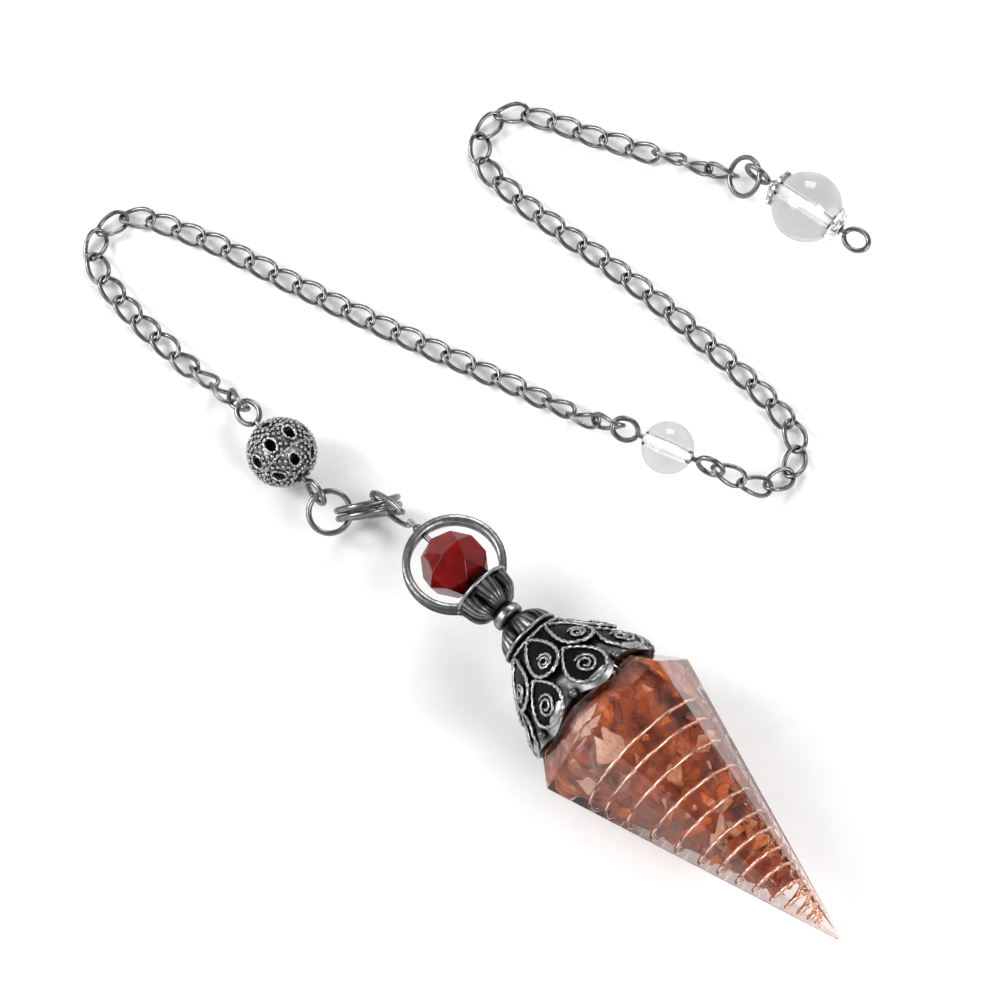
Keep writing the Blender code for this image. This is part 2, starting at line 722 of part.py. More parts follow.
def link_shape(place, ahead, roll, offset):
    """One oval link, bent so that its ends pass over and under its neighbours'."""
    half_length = (LINK_LENGTH - LINK_WIRE) / 2
    half_width = (LINK_WIDTH - LINK_WIRE) / 2
    lift = link_lift()
    up = Matrix.Rotation(math.radians(roll), 3, ahead) @ (Vector((0, 0, 1)) - ahead.z * ahead).normalized()
    aside = up.cross(ahead)
    path = []
    for step in range(10):
        turn = 2 * math.pi * (step + 0.5) / 10
        path.append(place + ahead * (half_length * math.cos(turn)) + aside * (half_width * math.sin(turn))
                    + up * (lift * math.sin(2 * turn) + offset))
    return swept(path, LINK_WIRE, 5, True, up)


def chain(name, stations, finish, parent):
    """Chain of interlocking links, fused where the links touch."""
    shapes = [link_shape(*link, LINK_OFFSET * LINK_WIRE * (-1) ** number)
              for number, link in enumerate(link_places(stations))]
    made = build(name, together(shapes[0::2]), finish, parent, split=True)
    combine(made, name + "_between", together(shapes[1::2]), "UNION")
    settle(made)


def lying_height(roll):
    """Height of the middle of a link that touches the surface."""
    edge = math.hypot((LINK_WIDTH - LINK_WIRE) / 2 * math.sin(math.radians(roll)), link_lift())
    return edge + LINK_WIRE * (0.5 + LINK_OFFSET)


def route_stations(first, first_roll, route, last, last_roll):
    """Route with its two end links, in metres. first and last are (middle of the wire that the end
    link hangs on, distance of the link's middle from it)."""
    middle = [Vector((x * MM, y * MM, z * MM + lying_height(roll), roll)) for x, y, z, roll in route]
    ends = []
    for (through, hook), roll, aim in ((first, first_roll, middle[0]), (last, last_roll, middle[-1])):
        place = through + (aim.xyz - through).normalized() * hook
        ends.append(Vector((*place, roll)))
    return [ends[0]] + middle + [ends[1]]


# The object

def make_point(parent, metal, copper, resin, stone, carnelian):
    """Resin point, its coil and chips, the cap, the ring casting, the red bead and its pin."""
    frame = empty("point_frame", point_frame(), parent)
    build("resin_point", resin_shape(), resin, frame, smooth=False)
    build("copper_coil", coil_shape(), copper, frame)
    chips = chips_shape()
    made = build("stone_chips", together(chips[0::2]), stone, frame, smooth=False)
    combine(made, "chips_between", together(chips[1::2]), "UNION")
    made.modifiers[0].use_self = True
    settle(made)

    build("scroll_cap", bell_shape(), metal, frame)

    bail = build("ring_bail", cups_shape(), metal, frame, split=True)
    combine(bail, "ring_frame", ring_frame_shape(), "UNION")
    hole = rod_shape(PIN_WIRE / 2 + GAP, RING_CENTRE + RING_RADIUS * 0.6, RING_TOP + RING_THICKNESS)
    combine(bail, "pin_hole", hole, "DIFFERENCE")
    settle(bail)

    middle = Matrix.Translation(Vector((0, 0, RING_CENTRE)))
    turn = Matrix.Rotation(0.35, 4, "Z") @ Matrix.Rotation(0.2, 4, "X")
    bead = build("red_bead", moved(faceted_bead_shape(), middle @ turn), carnelian, frame, smooth=False)
    bore = rod_shape(PIN_WIRE / 2 + GAP, RING_CENTRE - RED_BEAD, RING_CENTRE + RED_BEAD)
    combine(bead, "bead_bore", bore, "DIFFERENCE")
    settle(bead)

    swing = Matrix.Rotation(loop_droop() + math.radians(AXIS_RISE), 4, "X")
    loop_frame = Matrix.Translation(Vector((0, 0, LOOP_NECK))) @ swing @ Matrix.Rotation(math.pi / 2, 4, "Z")
    pin = build("bead_pin", swept(bead_pin_path(loop_frame), PIN_WIRE, 6, False, Vector((0, 1, 0.2))),
                metal, frame, split=True)
    foot = RING_CENTRE - RED_BEAD / 2 - GAP
    combine(pin, "pin_head", rod_shape(PIN_HEAD / 2, foot - PIN_WIRE * 0.7, foot), "UNION")


def make_rings(parent, metal):
    """Split ring and jump ring between the point and the ball, and the end ring."""
    for name, shape, place, normal in (
            ("split_ring", split_ring_shape(), SPLIT_PLACE, SPLIT_NORMAL),
            ("jump_ring", swept(ring_path(JUMP_RING, JUMP_WIRE, 16), JUMP_WIRE, 5, True), JUMP_PLACE,
             JUMP_NORMAL),
            ("end_ring", swept(ring_path(END_RING, END_RING_WIRE, 16), END_RING_WIRE, 5, True),
             END_RING_PLACE, END_RING_NORMAL)):
        made = build(name, shape, metal, parent)
        made.matrix_local = Matrix.Translation(place) @ facing(normal, Vector((1, 0, 0)))


def make_bead(names, place, along, reach, rolls, shape, finishes, parent):
    """A bead on a pin with two eyes. The pin's Z points along, and rolls turn its two eyes. Gives the
    bead and its place as a matrix."""
    bead_name, pin_name = names
    frame = Matrix.Translation(place) @ facing(along, Vector((0, 0, 1)))
    bead = build(bead_name, shape, finishes[0], parent)
    bead.matrix_local = frame
    pin = build(pin_name, double_eye_shape(reach, *rolls), finishes[1], parent)
    pin.matrix_local = frame
    return bead, frame


def make_line(parent, steel, silver, filigree, clear):
    """Ball, beads and both chains."""
    bore = PIN_WIRE + 2 * GAP
    ball = Vector((*BALL_PLACE, BALL / 2))
    small = Vector((*SMALL_BEAD_PLACE, SMALL_BEAD / 2))
    end = Vector((*END_BEAD_PLACE, END_BEAD / 2))
    to_chain = heading(BALL_HEADING)
    to_lower = heading(SMALL_BEAD_HEADING)
    to_upper = heading(END_BEAD_HEADING)
    end_reach = END_BEAD / 2 + GAP + BEAD_CAP_WALL

    pierced = make_bead(("filigree_ball", "ball_pin"), ball, to_chain, BALL / 2, BALL_EYE_TURNS,
                        filigree_shape(), (filigree, steel), parent)[0]
    shell = pierced.modifiers.new("shell", "SOLIDIFY")
    shell.thickness = BALL_SHELL
    shell.offset = -1.0
    make_bead(("small_bead", "small_bead_pin"), small, to_lower, SMALL_BEAD / 2, SMALL_EYE_TURNS,
              round_bead_shape(SMALL_BEAD, bore), (clear, steel), parent)
    frame = make_bead(("end_bead", "end_bead_pin"), end, to_upper, end_reach, END_EYE_TURNS,
                      round_bead_shape(END_BEAD, bore), (clear, steel), parent)[1]
    for name, away in (("end_bead_cap_inner", 1), ("end_bead_cap_outer", -1)):
        cap = build(name, bead_cap_shape(END_BEAD, away), silver, parent)
        cap.matrix_local = frame

    ball_eye = eye_wire(ball, to_chain, BALL / 2)
    lower_eye = eye_wire(small, to_lower, SMALL_BEAD / 2)
    upper_eye = eye_wire(small, -to_lower, SMALL_BEAD / 2)
    normal = END_RING_NORMAL.normalized()
    aside = Vector(UPPER_ROUTE[-1][:3]) * MM - END_RING_PLACE
    aside -= aside.dot(normal) * normal
    ring_wire = END_RING_PLACE + aside.normalized() * (END_RING - END_RING_WIRE) / 2
    chain("chain_lower", route_stations((ball_eye, EYE_HOOK), BALL_LINK_TURN, LOWER_ROUTE,
                                        (lower_eye, EYE_HOOK), LOWER_EYE_LINK_TURN), steel, parent)
    chain("chain_upper", route_stations((upper_eye, EYE_HOOK), UPPER_EYE_LINK_TURN, UPPER_ROUTE,
                                        (ring_wire, RING_HOOK), RING_LINK_TURN), steel, parent)


def centre_on_origin(root):
    """Move the whole so that the footprint's centre is the origin."""
    bpy.context.view_layer.update()
    graph = bpy.context.evaluated_depsgraph_get()
    corners = []
    for piece in bpy.data.objects:
        if piece.type == "MESH" and not piece.hide_render:
            solid = piece.evaluated_get(graph)
            corners += [solid.matrix_world @ corner.co for corner in solid.data.vertices]
    low = [min(corner[axis] for corner in corners) for axis in range(3)]
    high = [max(corner[axis] for corner in corners) for axis in range(3)]
    root.location = (-(low[0] + high[0]) / 2, -(low[1] + high[1]) / 2, -low[2])
    bpy.context.view_layer.update()


def main():
    for old in list(bpy.data.objects):
        bpy.data.objects.remove(old, do_unlink=True)
    antique = material("antique_silver", (0.32, 0.32, 0.33), 0.38, 1.0)
    steel = material("gunmetal", (0.27, 0.27, 0.28), 0.3, 1.0)
    silver = material("bright_silver", (0.86, 0.86, 0.87), 0.15, 1.0)
    filigree = material("dark_silver", (0.2, 0.2, 0.21), 0.35, 1.0)
    copper = material("copper", (0.86, 0.5, 0.36), 0.25, 1.0)
    resin = material("clear_resin", (0.95, 0.88, 0.87), 0.04, 0.0, 0.9)
    clear = material("clear_bead", (0.95, 0.96, 0.95), 0.03, 0.0, 0.95)
    stone = material("agate_chips", (0.62, 0.2, 0.07), 0.3, 0.0)
    carnelian = material("red_stone", (0.32, 0.01, 0.01), 0.1, 0.0)
    root = empty("pendant", Matrix.Identity(4))
    make_point(root, antique, copper, resin, stone, carnelian)
    make_rings(root, steel)
    make_line(root, steel, silver, filigree, clear)
    centre_on_origin(root)


main()
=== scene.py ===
"""Looks of a pendulum pendant that lies on a white table.

Sizes and shapes are in millimetres, in a frame whose origin is under the middle of the picture. make()
carries them to metres and to the row frame.
"""
import json
import random
from math import acos, asin, atan, cos, hypot, pi, radians, sin, sqrt, tan, tau

import bmesh
import bpy
from mathutils import Matrix, Vector
from mathutils.noise import noise as smooth_noise

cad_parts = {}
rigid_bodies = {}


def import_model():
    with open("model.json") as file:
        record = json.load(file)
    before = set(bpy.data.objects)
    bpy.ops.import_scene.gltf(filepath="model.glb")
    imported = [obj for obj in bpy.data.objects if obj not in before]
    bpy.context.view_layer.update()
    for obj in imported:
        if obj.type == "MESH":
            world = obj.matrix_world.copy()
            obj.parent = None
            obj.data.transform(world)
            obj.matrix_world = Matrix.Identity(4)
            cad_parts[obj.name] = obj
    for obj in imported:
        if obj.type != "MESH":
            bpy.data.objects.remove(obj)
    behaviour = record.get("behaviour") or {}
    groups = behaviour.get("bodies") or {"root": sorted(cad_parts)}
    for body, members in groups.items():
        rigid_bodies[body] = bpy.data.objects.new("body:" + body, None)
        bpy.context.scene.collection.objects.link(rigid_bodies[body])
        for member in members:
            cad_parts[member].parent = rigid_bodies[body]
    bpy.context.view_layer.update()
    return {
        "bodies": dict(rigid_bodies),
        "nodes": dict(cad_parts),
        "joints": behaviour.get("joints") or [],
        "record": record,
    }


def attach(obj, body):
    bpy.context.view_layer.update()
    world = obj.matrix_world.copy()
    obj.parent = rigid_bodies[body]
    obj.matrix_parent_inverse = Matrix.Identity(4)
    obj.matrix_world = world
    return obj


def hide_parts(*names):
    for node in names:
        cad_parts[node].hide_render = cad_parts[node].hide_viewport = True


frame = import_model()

MM = 0.001
UP = Vector((0, 0, 1))
ROW_SHIFT = Vector((2.83459, 1.12039, 0.19619))   # from this script's origin to the row frame's

# Resin point, measured along its axis from the tip
POINT_LENGTH = 32.0
POINT_RADIUS = 10.4               # axis to a girdle corner
TIP_RADIUS = 0.3
CROWN_HEIGHT = 2.9
SHOULDER_RADIUS = 8.216
PLUG_RADIUS = 6.0                 # stub of resin inside the cap
PLUG_HEIGHT = 4.0
PLUG_TAPER = 0.87
EDGE_ROUND = 0.14
TIP_PLACE = (34.496, -52.696)
AXIS_HEADING = 46.2               # degrees between the axis and -X, seen from above
AXIS_RISE = 0.4                   # degrees that the axis rises from tip to ring

# Coil: heights at which its turns cross the upper side, from the tip upwards
COIL_WIRE = 0.46
COIL_CROSSINGS = (2.6, 3.3, 4.4, 5.7, 7.2, 9.2, 11.0, 13.1, 15.1, 17.7, 20.4, 23.3, 25.8, 27.9, 28.8)
COIL_DEPTH = 0.5                  # resin outside the coil
COIL_END = 0.35                   # share of the last turn that is left out

# Chips in the resin, with the crumbs between them
CHIPS = 900
CHIP_SEED = 12
CHIP_TRIES = 40000
CHIP_SIZES = (2.0, 6.2)           # near the tip and at the girdle
CHIP_CORNERS = 13
CHIP_SPACING = 0.2                # least distance of two chips, as a share of their sizes
CHIP_DEPTH = 0.55                 # resin outside the chips, above the coil
COIL_TOP = 30.0
CHIP_BOTTOM = 7.5
BED_BOTTOM = 10.0
CHIP_TOP = 33.6
ACCENTS = (                       # height, place to the side, reach, and the tone of the upper chips there
    (31.0, 3.6, 1.9, 0.93), (33.6, 1.5, 1.4, 0.9), (15.7, 0.0, 2.0, 0.84), (29.9, 8.0, 2.0, 0.0),
    (14.4, 3.5, 1.6, 0.0), (22.0, -3.0, 1.6, 0.86))

# Bell cap
CAP_WALL = 0.8
CAP_HEIGHT = 9.5
CAP_RIM_RADIUS = 7.904
PETALS = 8                        # in each of the two tiers
NOTCH_DEPTH = 0.5
MARGIN_DROP = 1.0                 # of the outer edge over the flats of the point
LOBE_FLARE = 0.5
KNOT_RADIUS = 0.5                 # of the grains between the lobes
PETAL_SIZES = ((0.04, 0.6, 3.7, 0.6), (0.46, 1.0, 4.7, 0.35))   # of a tier: top, bottom, width, lift
PETAL_WALL = 0.45
ROPE_WIRE = 0.5                   # twisted wire round a petal
SCROLL_WIRE = 0.42
ROPE_PITCH = 0.8

# Crown cup, collar, lotus cup
CUP_WALL = 0.35
CROWN_CUP_RADIUS = 3.5
CROWN_CUP_HEIGHT = 2.9
COLLAR_RADIUS = 1.75
COLLAR_NECK = 1.2
COLLAR_HEIGHT = 1.7
LOTUS_RADIUS = 3.5
LOTUS_HEIGHT = 3.3
LOTUS_DEPTH = 1.12                # from its rim to its floor
CUP_LOBES = 6
LINES_PER_LOBE = 4

# Ring frame and red bead
RING_RADIUS = 5.6
RING_THICKNESS = 0.85
RING_DEPTH = 1.6
RING_SEAT = 0.5
RED_BEAD = 7.5

# Pins and rings
PIN_WIRE = 0.62
PIN_HEAD = 1.5
LOOP_LENGTH = 7.4
LOOP_WIDTH = 4.3
LOOP_STANDOFF = 1.15
LOOP_DROOP = 29.8
LOOP_SWEEP = 325                  # degrees that the wire is bent through
SPLIT_RING = 7.6
SPLIT_WIRE = 0.75
SPLIT_SWEEP = 690
SPLIT_RISE = 1.728                # from one end of its wire to the other
JUMP_RING = 5.3
JUMP_WIRE = 0.65
END_RING = 5.1
END_RING_WIRE = 0.6
EYE_LENGTH = 3.6
EYE_WIDTH = 3.0
EYE_SWEEP = 336
BALL_EYE_TURNS = (75, 11.5)       # degrees from upright of the eye ahead and of the one behind
SMALL_EYE_TURNS = (60, 15)
END_EYE_TURNS = (-1.5, 75)
STEM = 0.4
GAP = 0.3

# Beads
BALL = 8.0
BALL_SHELL = 0.3
BALL_TRIM = 0.34                  # radius of the black ball painted in as the shade inside the hollow
BALL_PAINTED_SHADE = 2.6                 # radius of the dark inside
POLE_HOLE = 0.2                   # angle from the pole to the edge of the pin's hole
GRANULES = 460
GRANULE_RADIUS = 0.25
OPENING_ROWS = ((0.78, 6, 0.58), (1.571, 9, 0.62), (2.36, 6, 0.58))   # angle from the pole, number, size
OPENING_STRETCH = 1.35            # length of an opening against its width
OPENING_ROPE = 0.38
RIDGES = (0.34, 1.17, 1.97, 2.80)   # angles from the pole
RIDGE_ROPE = 0.4
SMALL_BEAD = 6.0
END_BEAD = 8.2
BEAD_BORE = 1.22
BEAD_CAP = 5.0
BEAD_CAP_WALL = 0.35
BEAD_CAP_PETALS = 8

# Curb chain
LINK_WIRE = 0.52
LINK_LENGTH = 4.4
LINK_WIDTH = 2.8
LINK_PITCH = 3.2
EYE_HOOK = 0.7
RING_HOOK = 1.0
LINK_LIFT = 0.6                   # of the wire, half the height between two crossing wires
LINK_OFFSET = 0.13                # of the wire, by which links lie high and low in turn

# Places and headings, seen from above
BALL_PLACE = (-24.1, 4.0)
BALL_HEADING = 128.6
SMALL_BEAD_PLACE = (18.6, 5.0)
SMALL_BEAD_HEADING = 154.0
END_BEAD_PLACE = (35.1, 34.9)
END_BEAD_HEADING = 141.9
SPLIT_PLACE = Vector((-14.38, -2.94, 4.04))
SPLIT_NORMAL = Vector((-0.17, 0.89, 0.42))
JUMP_PLACE = Vector((-18.69, -2.99, 3.44))
JUMP_NORMAL = Vector((-0.09, -0.35, 0.93))
END_RING_PLACE = Vector((28.23, 39.63, 2.77))
END_RING_NORMAL = Vector((-0.7, -0.27, 0.66))

# Routes of the chains between their end links: x, y, height above a link that lies flat, turn
LOWER_ROUTE = [
    (-31.1, 12.45, 0.6, 45), (-33.4, 14.6, 0.2, 40), (-35.6, 16.6, 0.0, 10), (-37.8, 18.8, 0.0, 0),
    (-42.3, 23.4, 0.0, 0), (-46.0, 28.7, 0.0, 0), (-46.5, 31.8, 0.0, 0), (-44.8, 34.4, 0.0, 0),
    (-41.8, 35.4, 0.0, 0), (-33.3, 32.2, 0.0, 0), (-24.7, 27.4, 0.0, 0), (-16.0, 22.7, 0.0, 0),
    (-7.4, 18.3, 0.0, 0), (1.3, 13.9, 0.0, -15), (6.5, 11.0, 0.1, -30), (9.35, 9.4, 0.4, -35)]
UPPER_ROUTE = [
    (28.0, 0.8, 1.5, -8), (30.7, 1.6, 0.5, -4), (32.7, 3.8, 0.0, 0), (33.1, 7.1, 0.0, 0),
    (31.6, 10.2, 0.0, 0), (27.7, 14.8, 0.0, 0), (22.9, 19.7, 0.0, 0), (18.3, 24.2, 0.0, 0),
    (13.5, 28.4, 0.0, 0), (8.4, 32.6, 0.0, 0), (3.3, 36.8, 0.0, 0), (-1.1, 41.4, 0.0, 0),
    (-2.3, 44.4, 0.0, 0), (-1.5, 47.3, 0.0, 0), (0.9, 49.2, 0.0, 0), (4.0, 48.9, 0.0, 0),
    (10.0, 46.6, 0.0, 0), (16.4, 44.3, 0.0, 0), (19.5, 43.2, 0.0, -45), (22.5, 42.1, 0.0, -38)]
BALL_LINK_TURN = 100.0
LOWER_EYE_LINK_TURN = -90.0
UPPER_EYE_LINK_TURN = -10.0
RING_LINK_TURN = -88.0

# Camera
CAMERA_RISE = 66.0                # degrees above the table
CAMERA_DISTANCE = 350.0
CAMERA_LENS = 113.4


# Shapes: a list of points and a list of faces

def together(shapes):
    """One shape that holds several."""
    points = []
    faces = []
    for more_points, more_faces in shapes:
        first = len(points)
        points += more_points
        faces += [[first + index for index in face] for face in more_faces]
    return points, faces


def toned(parts):
    """One shape from several, with its tones. parts are (shape, its tone or a list of its points' tones)."""
    tones = []
    for (points, faces), tone in parts:
        tones += tone if isinstance(tone, list) else [tone] * len(points)
    return together([shape for shape, tone in parts]), tones


def moved(shape, matrix):
    """A shape carried by a matrix."""
    points, faces = shape
    return [matrix @ Vector(point) for point in points], faces


def on_circle(radius, angle, height=0.0):
    """Point at an angle about Z."""
    return Vector((radius * cos(angle), radius * sin(angle), height))


def grid_faces(rows, columns, wrap_rows):
    """Quads of a grid whose columns always close into a ring."""
    faces = []
    for row in range(rows if wrap_rows else rows - 1):
        upper = (row + 1) % rows
        for column in range(columns):
            after = (column + 1) % columns
            faces.append([row * columns + column, row * columns + after,
                          upper * columns + after, upper * columns + column])
    return faces


def turned(profile, sides, shape_of=None):
    """Turn a profile of (radius, height) about Z. A profile that starts and ends on the axis is closed
    by its poles, and any other one into a ring. shape_of(row, angle) gives share of radius and rise."""
    open_ends = profile[0][0] == 0 and profile[-1][0] == 0
    rows = profile[1:-1] if open_ends else profile
    points = []
    for row, (radius, height) in enumerate(rows):
        for side in range(sides):
            angle = tau * side / sides
            share, rise = shape_of(row, angle) if shape_of else (1.0, 0.0)
            points.append(on_circle(radius * share, angle, height + rise))
    faces = grid_faces(len(rows), sides, not open_ends)
    if open_ends:
        points += [UP * profile[0][1], UP * profile[-1][1]]
        last = (len(rows) - 1) * sides
        for side in range(sides):
            after = (side + 1) % sides
            faces.append([side, after, len(points) - 2])
            faces.append([last + side, last + after, len(points) - 1])
    return points, faces


def tube(path, wire, sides, closed, normal=UP, thickness=None):
    """Round wire along a path, with rounded ends. thickness(step, angle) gives the share of the wire's
    radius at a point of its surface."""
    count = len(path)
    tangents = []
    for index in range(count):
        before = path[index - 1] if closed or index else path[0]
        after = path[(index + 1) % count] if closed or index < count - 1 else path[-1]
        tangents.append((after - before).normalized())
    side_way = [normal - normal.dot(tangents[0]) * tangents[0]]
    for index in range(1, count + 1):
        tangent = tangents[index % count]
        side_way.append(side_way[-1] - side_way[-1].dot(tangent) * tangent)
    drift = side_way[0].normalized().cross(side_way[count].normalized()).dot(tangents[0])
    twist = asin(max(-1.0, min(1.0, drift))) if closed else 0.0
    rings = [(index, 0.0, 1.0) for index in range(count)]
    if not closed:
        rounding = ((0.92, 0.38), (0.7, 0.72), (0.38, 0.92))
        rings = ([(0, -along, across) for across, along in rounding[::-1]] + rings
                 + [(count - 1, along, across) for across, along in rounding])
    points = []
    for index, along, share in rings:
        tangent = tangents[index]
        across = side_way[index].normalized()
        over = tangent.cross(across)
        for side in range(sides):
            turn = tau * side / sides
            angle = turn - twist * index / count
            radius = wire / 2 * share * (thickness(index, turn) if thickness else 1.0)
            points.append(path[index] + tangent * (along * wire / 2)
                          + (across * cos(angle) + over * sin(angle)) * radius)
    faces = grid_faces(len(rings), sides, closed)
    if not closed:
        faces.append(list(range(sides)))
        faces.append(list(range((len(rings) - 1) * sides, len(rings) * sides)))
    return points, faces


def arc(radius, start, end, steps):
    """Profile of a ball between two angles from its pole."""
    angles = [start + (end - start) * step / steps for step in range(steps + 1)]
    return [(radius * sin(angle), radius * cos(angle)) for angle in angles]


def ball(place, radius, rows=6, sides=10):
    """Round ball or grain."""
    profile = [(0, radius)] + arc(radius, 0, pi, rows)[1:-1] + [(0, -radius)]
    return moved(turned(profile, sides), Matrix.Translation(place))


def distances(path):
    """Distance of each point of a path from its start, along it."""
    lengths = [0.0]
    for first, second in zip(path, path[1:]):
        lengths.append(lengths[-1] + (second.xyz - first.xyz).length)
    return lengths


def rope(path, wire, closed, normal, pitch=ROPE_PITCH, sides=8):
    """Twisted wire of two strands along a path."""
    steps = distances(path)
    length = steps[-1] + ((path[0] - path[-1]).length if closed else 0)
    turns = max(1, round(length / pitch))

    def strands(step, angle):
        return 0.8 + 0.2 * cos(2 * (angle - pi * turns * steps[step] / length))

    return tube(path, wire, sides, closed, normal, strands)


def facing(normal, along):
    """Rotation whose Z is normal and whose X is as near along as it can be."""
    up = normal.normalized()
    ahead = (along - along.dot(up) * up).normalized()
    return Matrix((ahead, up.cross(ahead), up)).transposed().to_4x4()


def heading(degrees):
    """Level direction at an angle from +X, seen from above."""
    return on_circle(1.0, radians(degrees))


def circle(radius, count, height=0.0):
    """Points of a circle about Z."""
    return [on_circle(radius, tau * step / count, height) for step in range(count)]


def oval(length, width, wire, sweep, steps):
    """Middle of a wire bent round an oval from its lower end, as (across, along). sweep is in degrees."""
    turns = [radians(sweep * step / steps - 90) for step in range(steps + 1)]
    return [((width - wire) / 2 * cos(turn), (length - wire) / 2 * (1 + sin(turn))) for turn in turns]


def curve_through(rows, steps):
    """Smooth curve through rows of numbers, steps points to each row."""
    fine = []
    last = len(rows) - 1
    for index in range(last):
        p0, p1, p2, p3 = (rows[max(0, min(last, index + shift))] for shift in (-1, 0, 1, 2))
        for step in range(steps):
            t = step / steps
            weights = ((-t + 2 * t ** 2 - t ** 3) / 2, (2 - 5 * t ** 2 + 3 * t ** 3) / 2,
                       (t + 4 * t ** 2 - 3 * t ** 3) / 2, (t ** 3 - t ** 2) / 2)
            fine.append([sum(weight * row[axis] for weight, row in zip(weights, (p0, p1, p2, p3)))
                         for axis in range(len(rows[0]))])
    fine.append(list(rows[-1]))
    return fine


def read_shape(work):
    """Shape of a mesh that was built up, which is then freed."""
    work.verts.index_update()
    shape = ([corner.co.copy() for corner in work.verts],
             [[corner.index for corner in face.verts] for face in work.faces])
    work.free()
    return shape


def add_object(name, data):
    """New object in the scene."""
    made = bpy.data.objects.new(name, data)
    bpy.context.scene.collection.objects.link(made)
    return made


def make(name, shape, finish, nodes=(), smooth=60, tones=None, bevel=None):
    """Piece from a shape in this script's frame. It rides on the root body and stands for nodes. tones
    are the worn share of each point, from 0 in a recess to 1 on a polished edge."""
    points, faces = shape
    mesh = bpy.data.meshes.new(name)
    mesh.from_pydata([tuple((point + ROW_SHIFT) * MM) for point in points], [], faces)
    work = bmesh.new()
    work.from_mesh(mesh)
    bmesh.ops.recalc_face_normals(work, faces=work.faces)
    work.to_mesh(mesh)
    work.free()
    if smooth:
        mesh.shade_smooth()
        mesh.set_sharp_from_angle(angle=radians(smooth))
    if tones:
        layer = mesh.attributes.new("tone", "FLOAT", "POINT")
        layer.data.foreach_set("value", tones)
    mesh.materials.append(finish)
    piece = add_object(name, mesh)
    if bevel:
        rounding = piece.modifiers.new("rounding", "BEVEL")
        rounding.width = bevel * MM
        rounding.segments = 2
        rounding.limit_method = "ANGLE"
        rounding.angle_limit = radians(12)
        rounding.harden_normals = True
    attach(piece, "root")
    if nodes:
        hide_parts(*nodes)


# Materials

def grey(value):
    """Neutral colour."""
    return value, value, value


def add_node(tree, kind, sockets=None, **settings):
    """Node with its settings. sockets are values, or the output sockets of other nodes."""
    made = tree.nodes.new(kind)
    for key, value in settings.items():
        setattr(made, key, value)
    for key, value in (sockets or {}).items():
        if isinstance(value, bpy.types.NodeSocket):
            tree.links.new(value, made.inputs[key])
        else:
            made.inputs[key].default_value = value
    return made


def start_material(name, **values):
    """Material, its tree, its shader and the place on the object."""
    made = bpy.data.materials.new(name)
    made.use_nodes = True
    tree = made.node_tree
    shader = tree.nodes["Principled BSDF"]
    for key, value in values.items():
        shader.inputs[key.replace("_", " ")].default_value = value
    place = add_node(tree, "ShaderNodeTexCoord").outputs["Object"]
    return made, tree, shader, place


def noise(tree, place, scale, detail=4.0, roughness=0.6, distortion=0.0):
    """Fractal noise, as a number. scale is in features to a millimetre."""
    return add_node(tree, "ShaderNodeTexNoise", {"Vector": place, "Scale": scale / MM, "Detail": detail,
                                                "Roughness": roughness, "Distortion": distortion}
                    ).outputs["Fac"]


def ramp(tree, factor, stops):
    """Colours along a number. stops are (place, colour)."""
    made = add_node(tree, "ShaderNodeValToRGB", {"Fac": factor})
    while len(made.color_ramp.elements) < len(stops):
        made.color_ramp.elements.new(0.5)
    for element, (place, colour) in zip(made.color_ramp.elements, stops):
        element.position = place
        element.color = (*colour, 1.0)
    return made.outputs["Color"]


def paint(tree, shader, factor, stops):
    """Colour the shader along a number."""
    tree.links.new(ramp(tree, factor, stops), shader.inputs["Base Color"])


def multiplied(tree, first, second):
    """Product of two colours."""
    made = add_node(tree, "ShaderNodeMix", data_type="RGBA", blend_type="MULTIPLY")
    made.inputs[0].default_value = 1.0
    tree.links.new(first, made.inputs[6])
    tree.links.new(second, made.inputs[7])
    return made.outputs[2]


def spread(tree, factor, low, high, start=0.0, end=1.0):
    """A number carried from start..end to low..high."""
    return add_node(tree, "ShaderNodeMapRange", {"Value": factor, "From Min": start, "From Max": end,
                                                "To Min": low, "To Max": high}).outputs["Result"]


def calculate(tree, operation, first, second):
    """Sum, product or such of two numbers."""
    made = add_node(tree, "ShaderNodeMath", operation=operation)
    for socket, value in zip(made.inputs, (first, second)):
        if isinstance(value, bpy.types.NodeSocket):
            tree.links.new(value, socket)
        else:
            socket.default_value = value
    return made.outputs[0]


def bump(tree, shader, height, distance, strength=1.0):
    """Raise the shader's surface by a number."""
    made = add_node(tree, "ShaderNodeBump", {"Height": height, "Strength": strength,
                                             "Distance": distance * MM})
    tree.links.new(made.outputs["Normal"], shader.inputs["Normal"])


def old_metal(name, recess, worn, roughness, reach, grain, by_tone=False):
    """Silver-like metal that is dark in its hollows and worn bright on its edges. The dark in the hollows is
    painted shade from an ambient-occlusion term, together with the dark patina of the old metal. reach is
    the width of the hollows in millimetres, and grain the noise in features to a millimetre. by_tone brings
    in the tones of the points."""
    made, tree, shader, place = start_material(name, Metallic=1.0)
    # Painted shade: the ambient-occlusion term darkens the colour in hollows and where other parts or the
    # table come close
    unshaded_share = add_node(tree, "ShaderNodeAmbientOcclusion", {"Distance": reach * MM}, samples=6)
    mottle = noise(tree, place, grain, 5.0, 0.65)
    fine = noise(tree, place, grain * 5, 3.0)
    wear = spread(tree, mottle, 0.7, 1.25, 0.3, 0.7)
    factor = calculate(tree, "MULTIPLY", unshaded_share.outputs["AO"], wear)
    if by_tone:
        tone = add_node(tree, "ShaderNodeAttribute", attribute_name="tone").outputs["Fac"]
        factor = calculate(tree, "MULTIPLY", factor, tone)
    middle = [recess[axis] * 0.55 + worn[axis] * 0.45 for axis in range(3)]
    paint(tree, shader, factor, [(0.225, recess), (0.7, middle), (0.95, worn)])
    tree.links.new(spread(tree, factor, roughness + 0.25, roughness), shader.inputs["Roughness"])
    bump(tree, shader, calculate(tree, "ADD", mottle, calculate(tree, "MULTIPLY", fine, 0.4)), 0.05, 0.5)
    return made


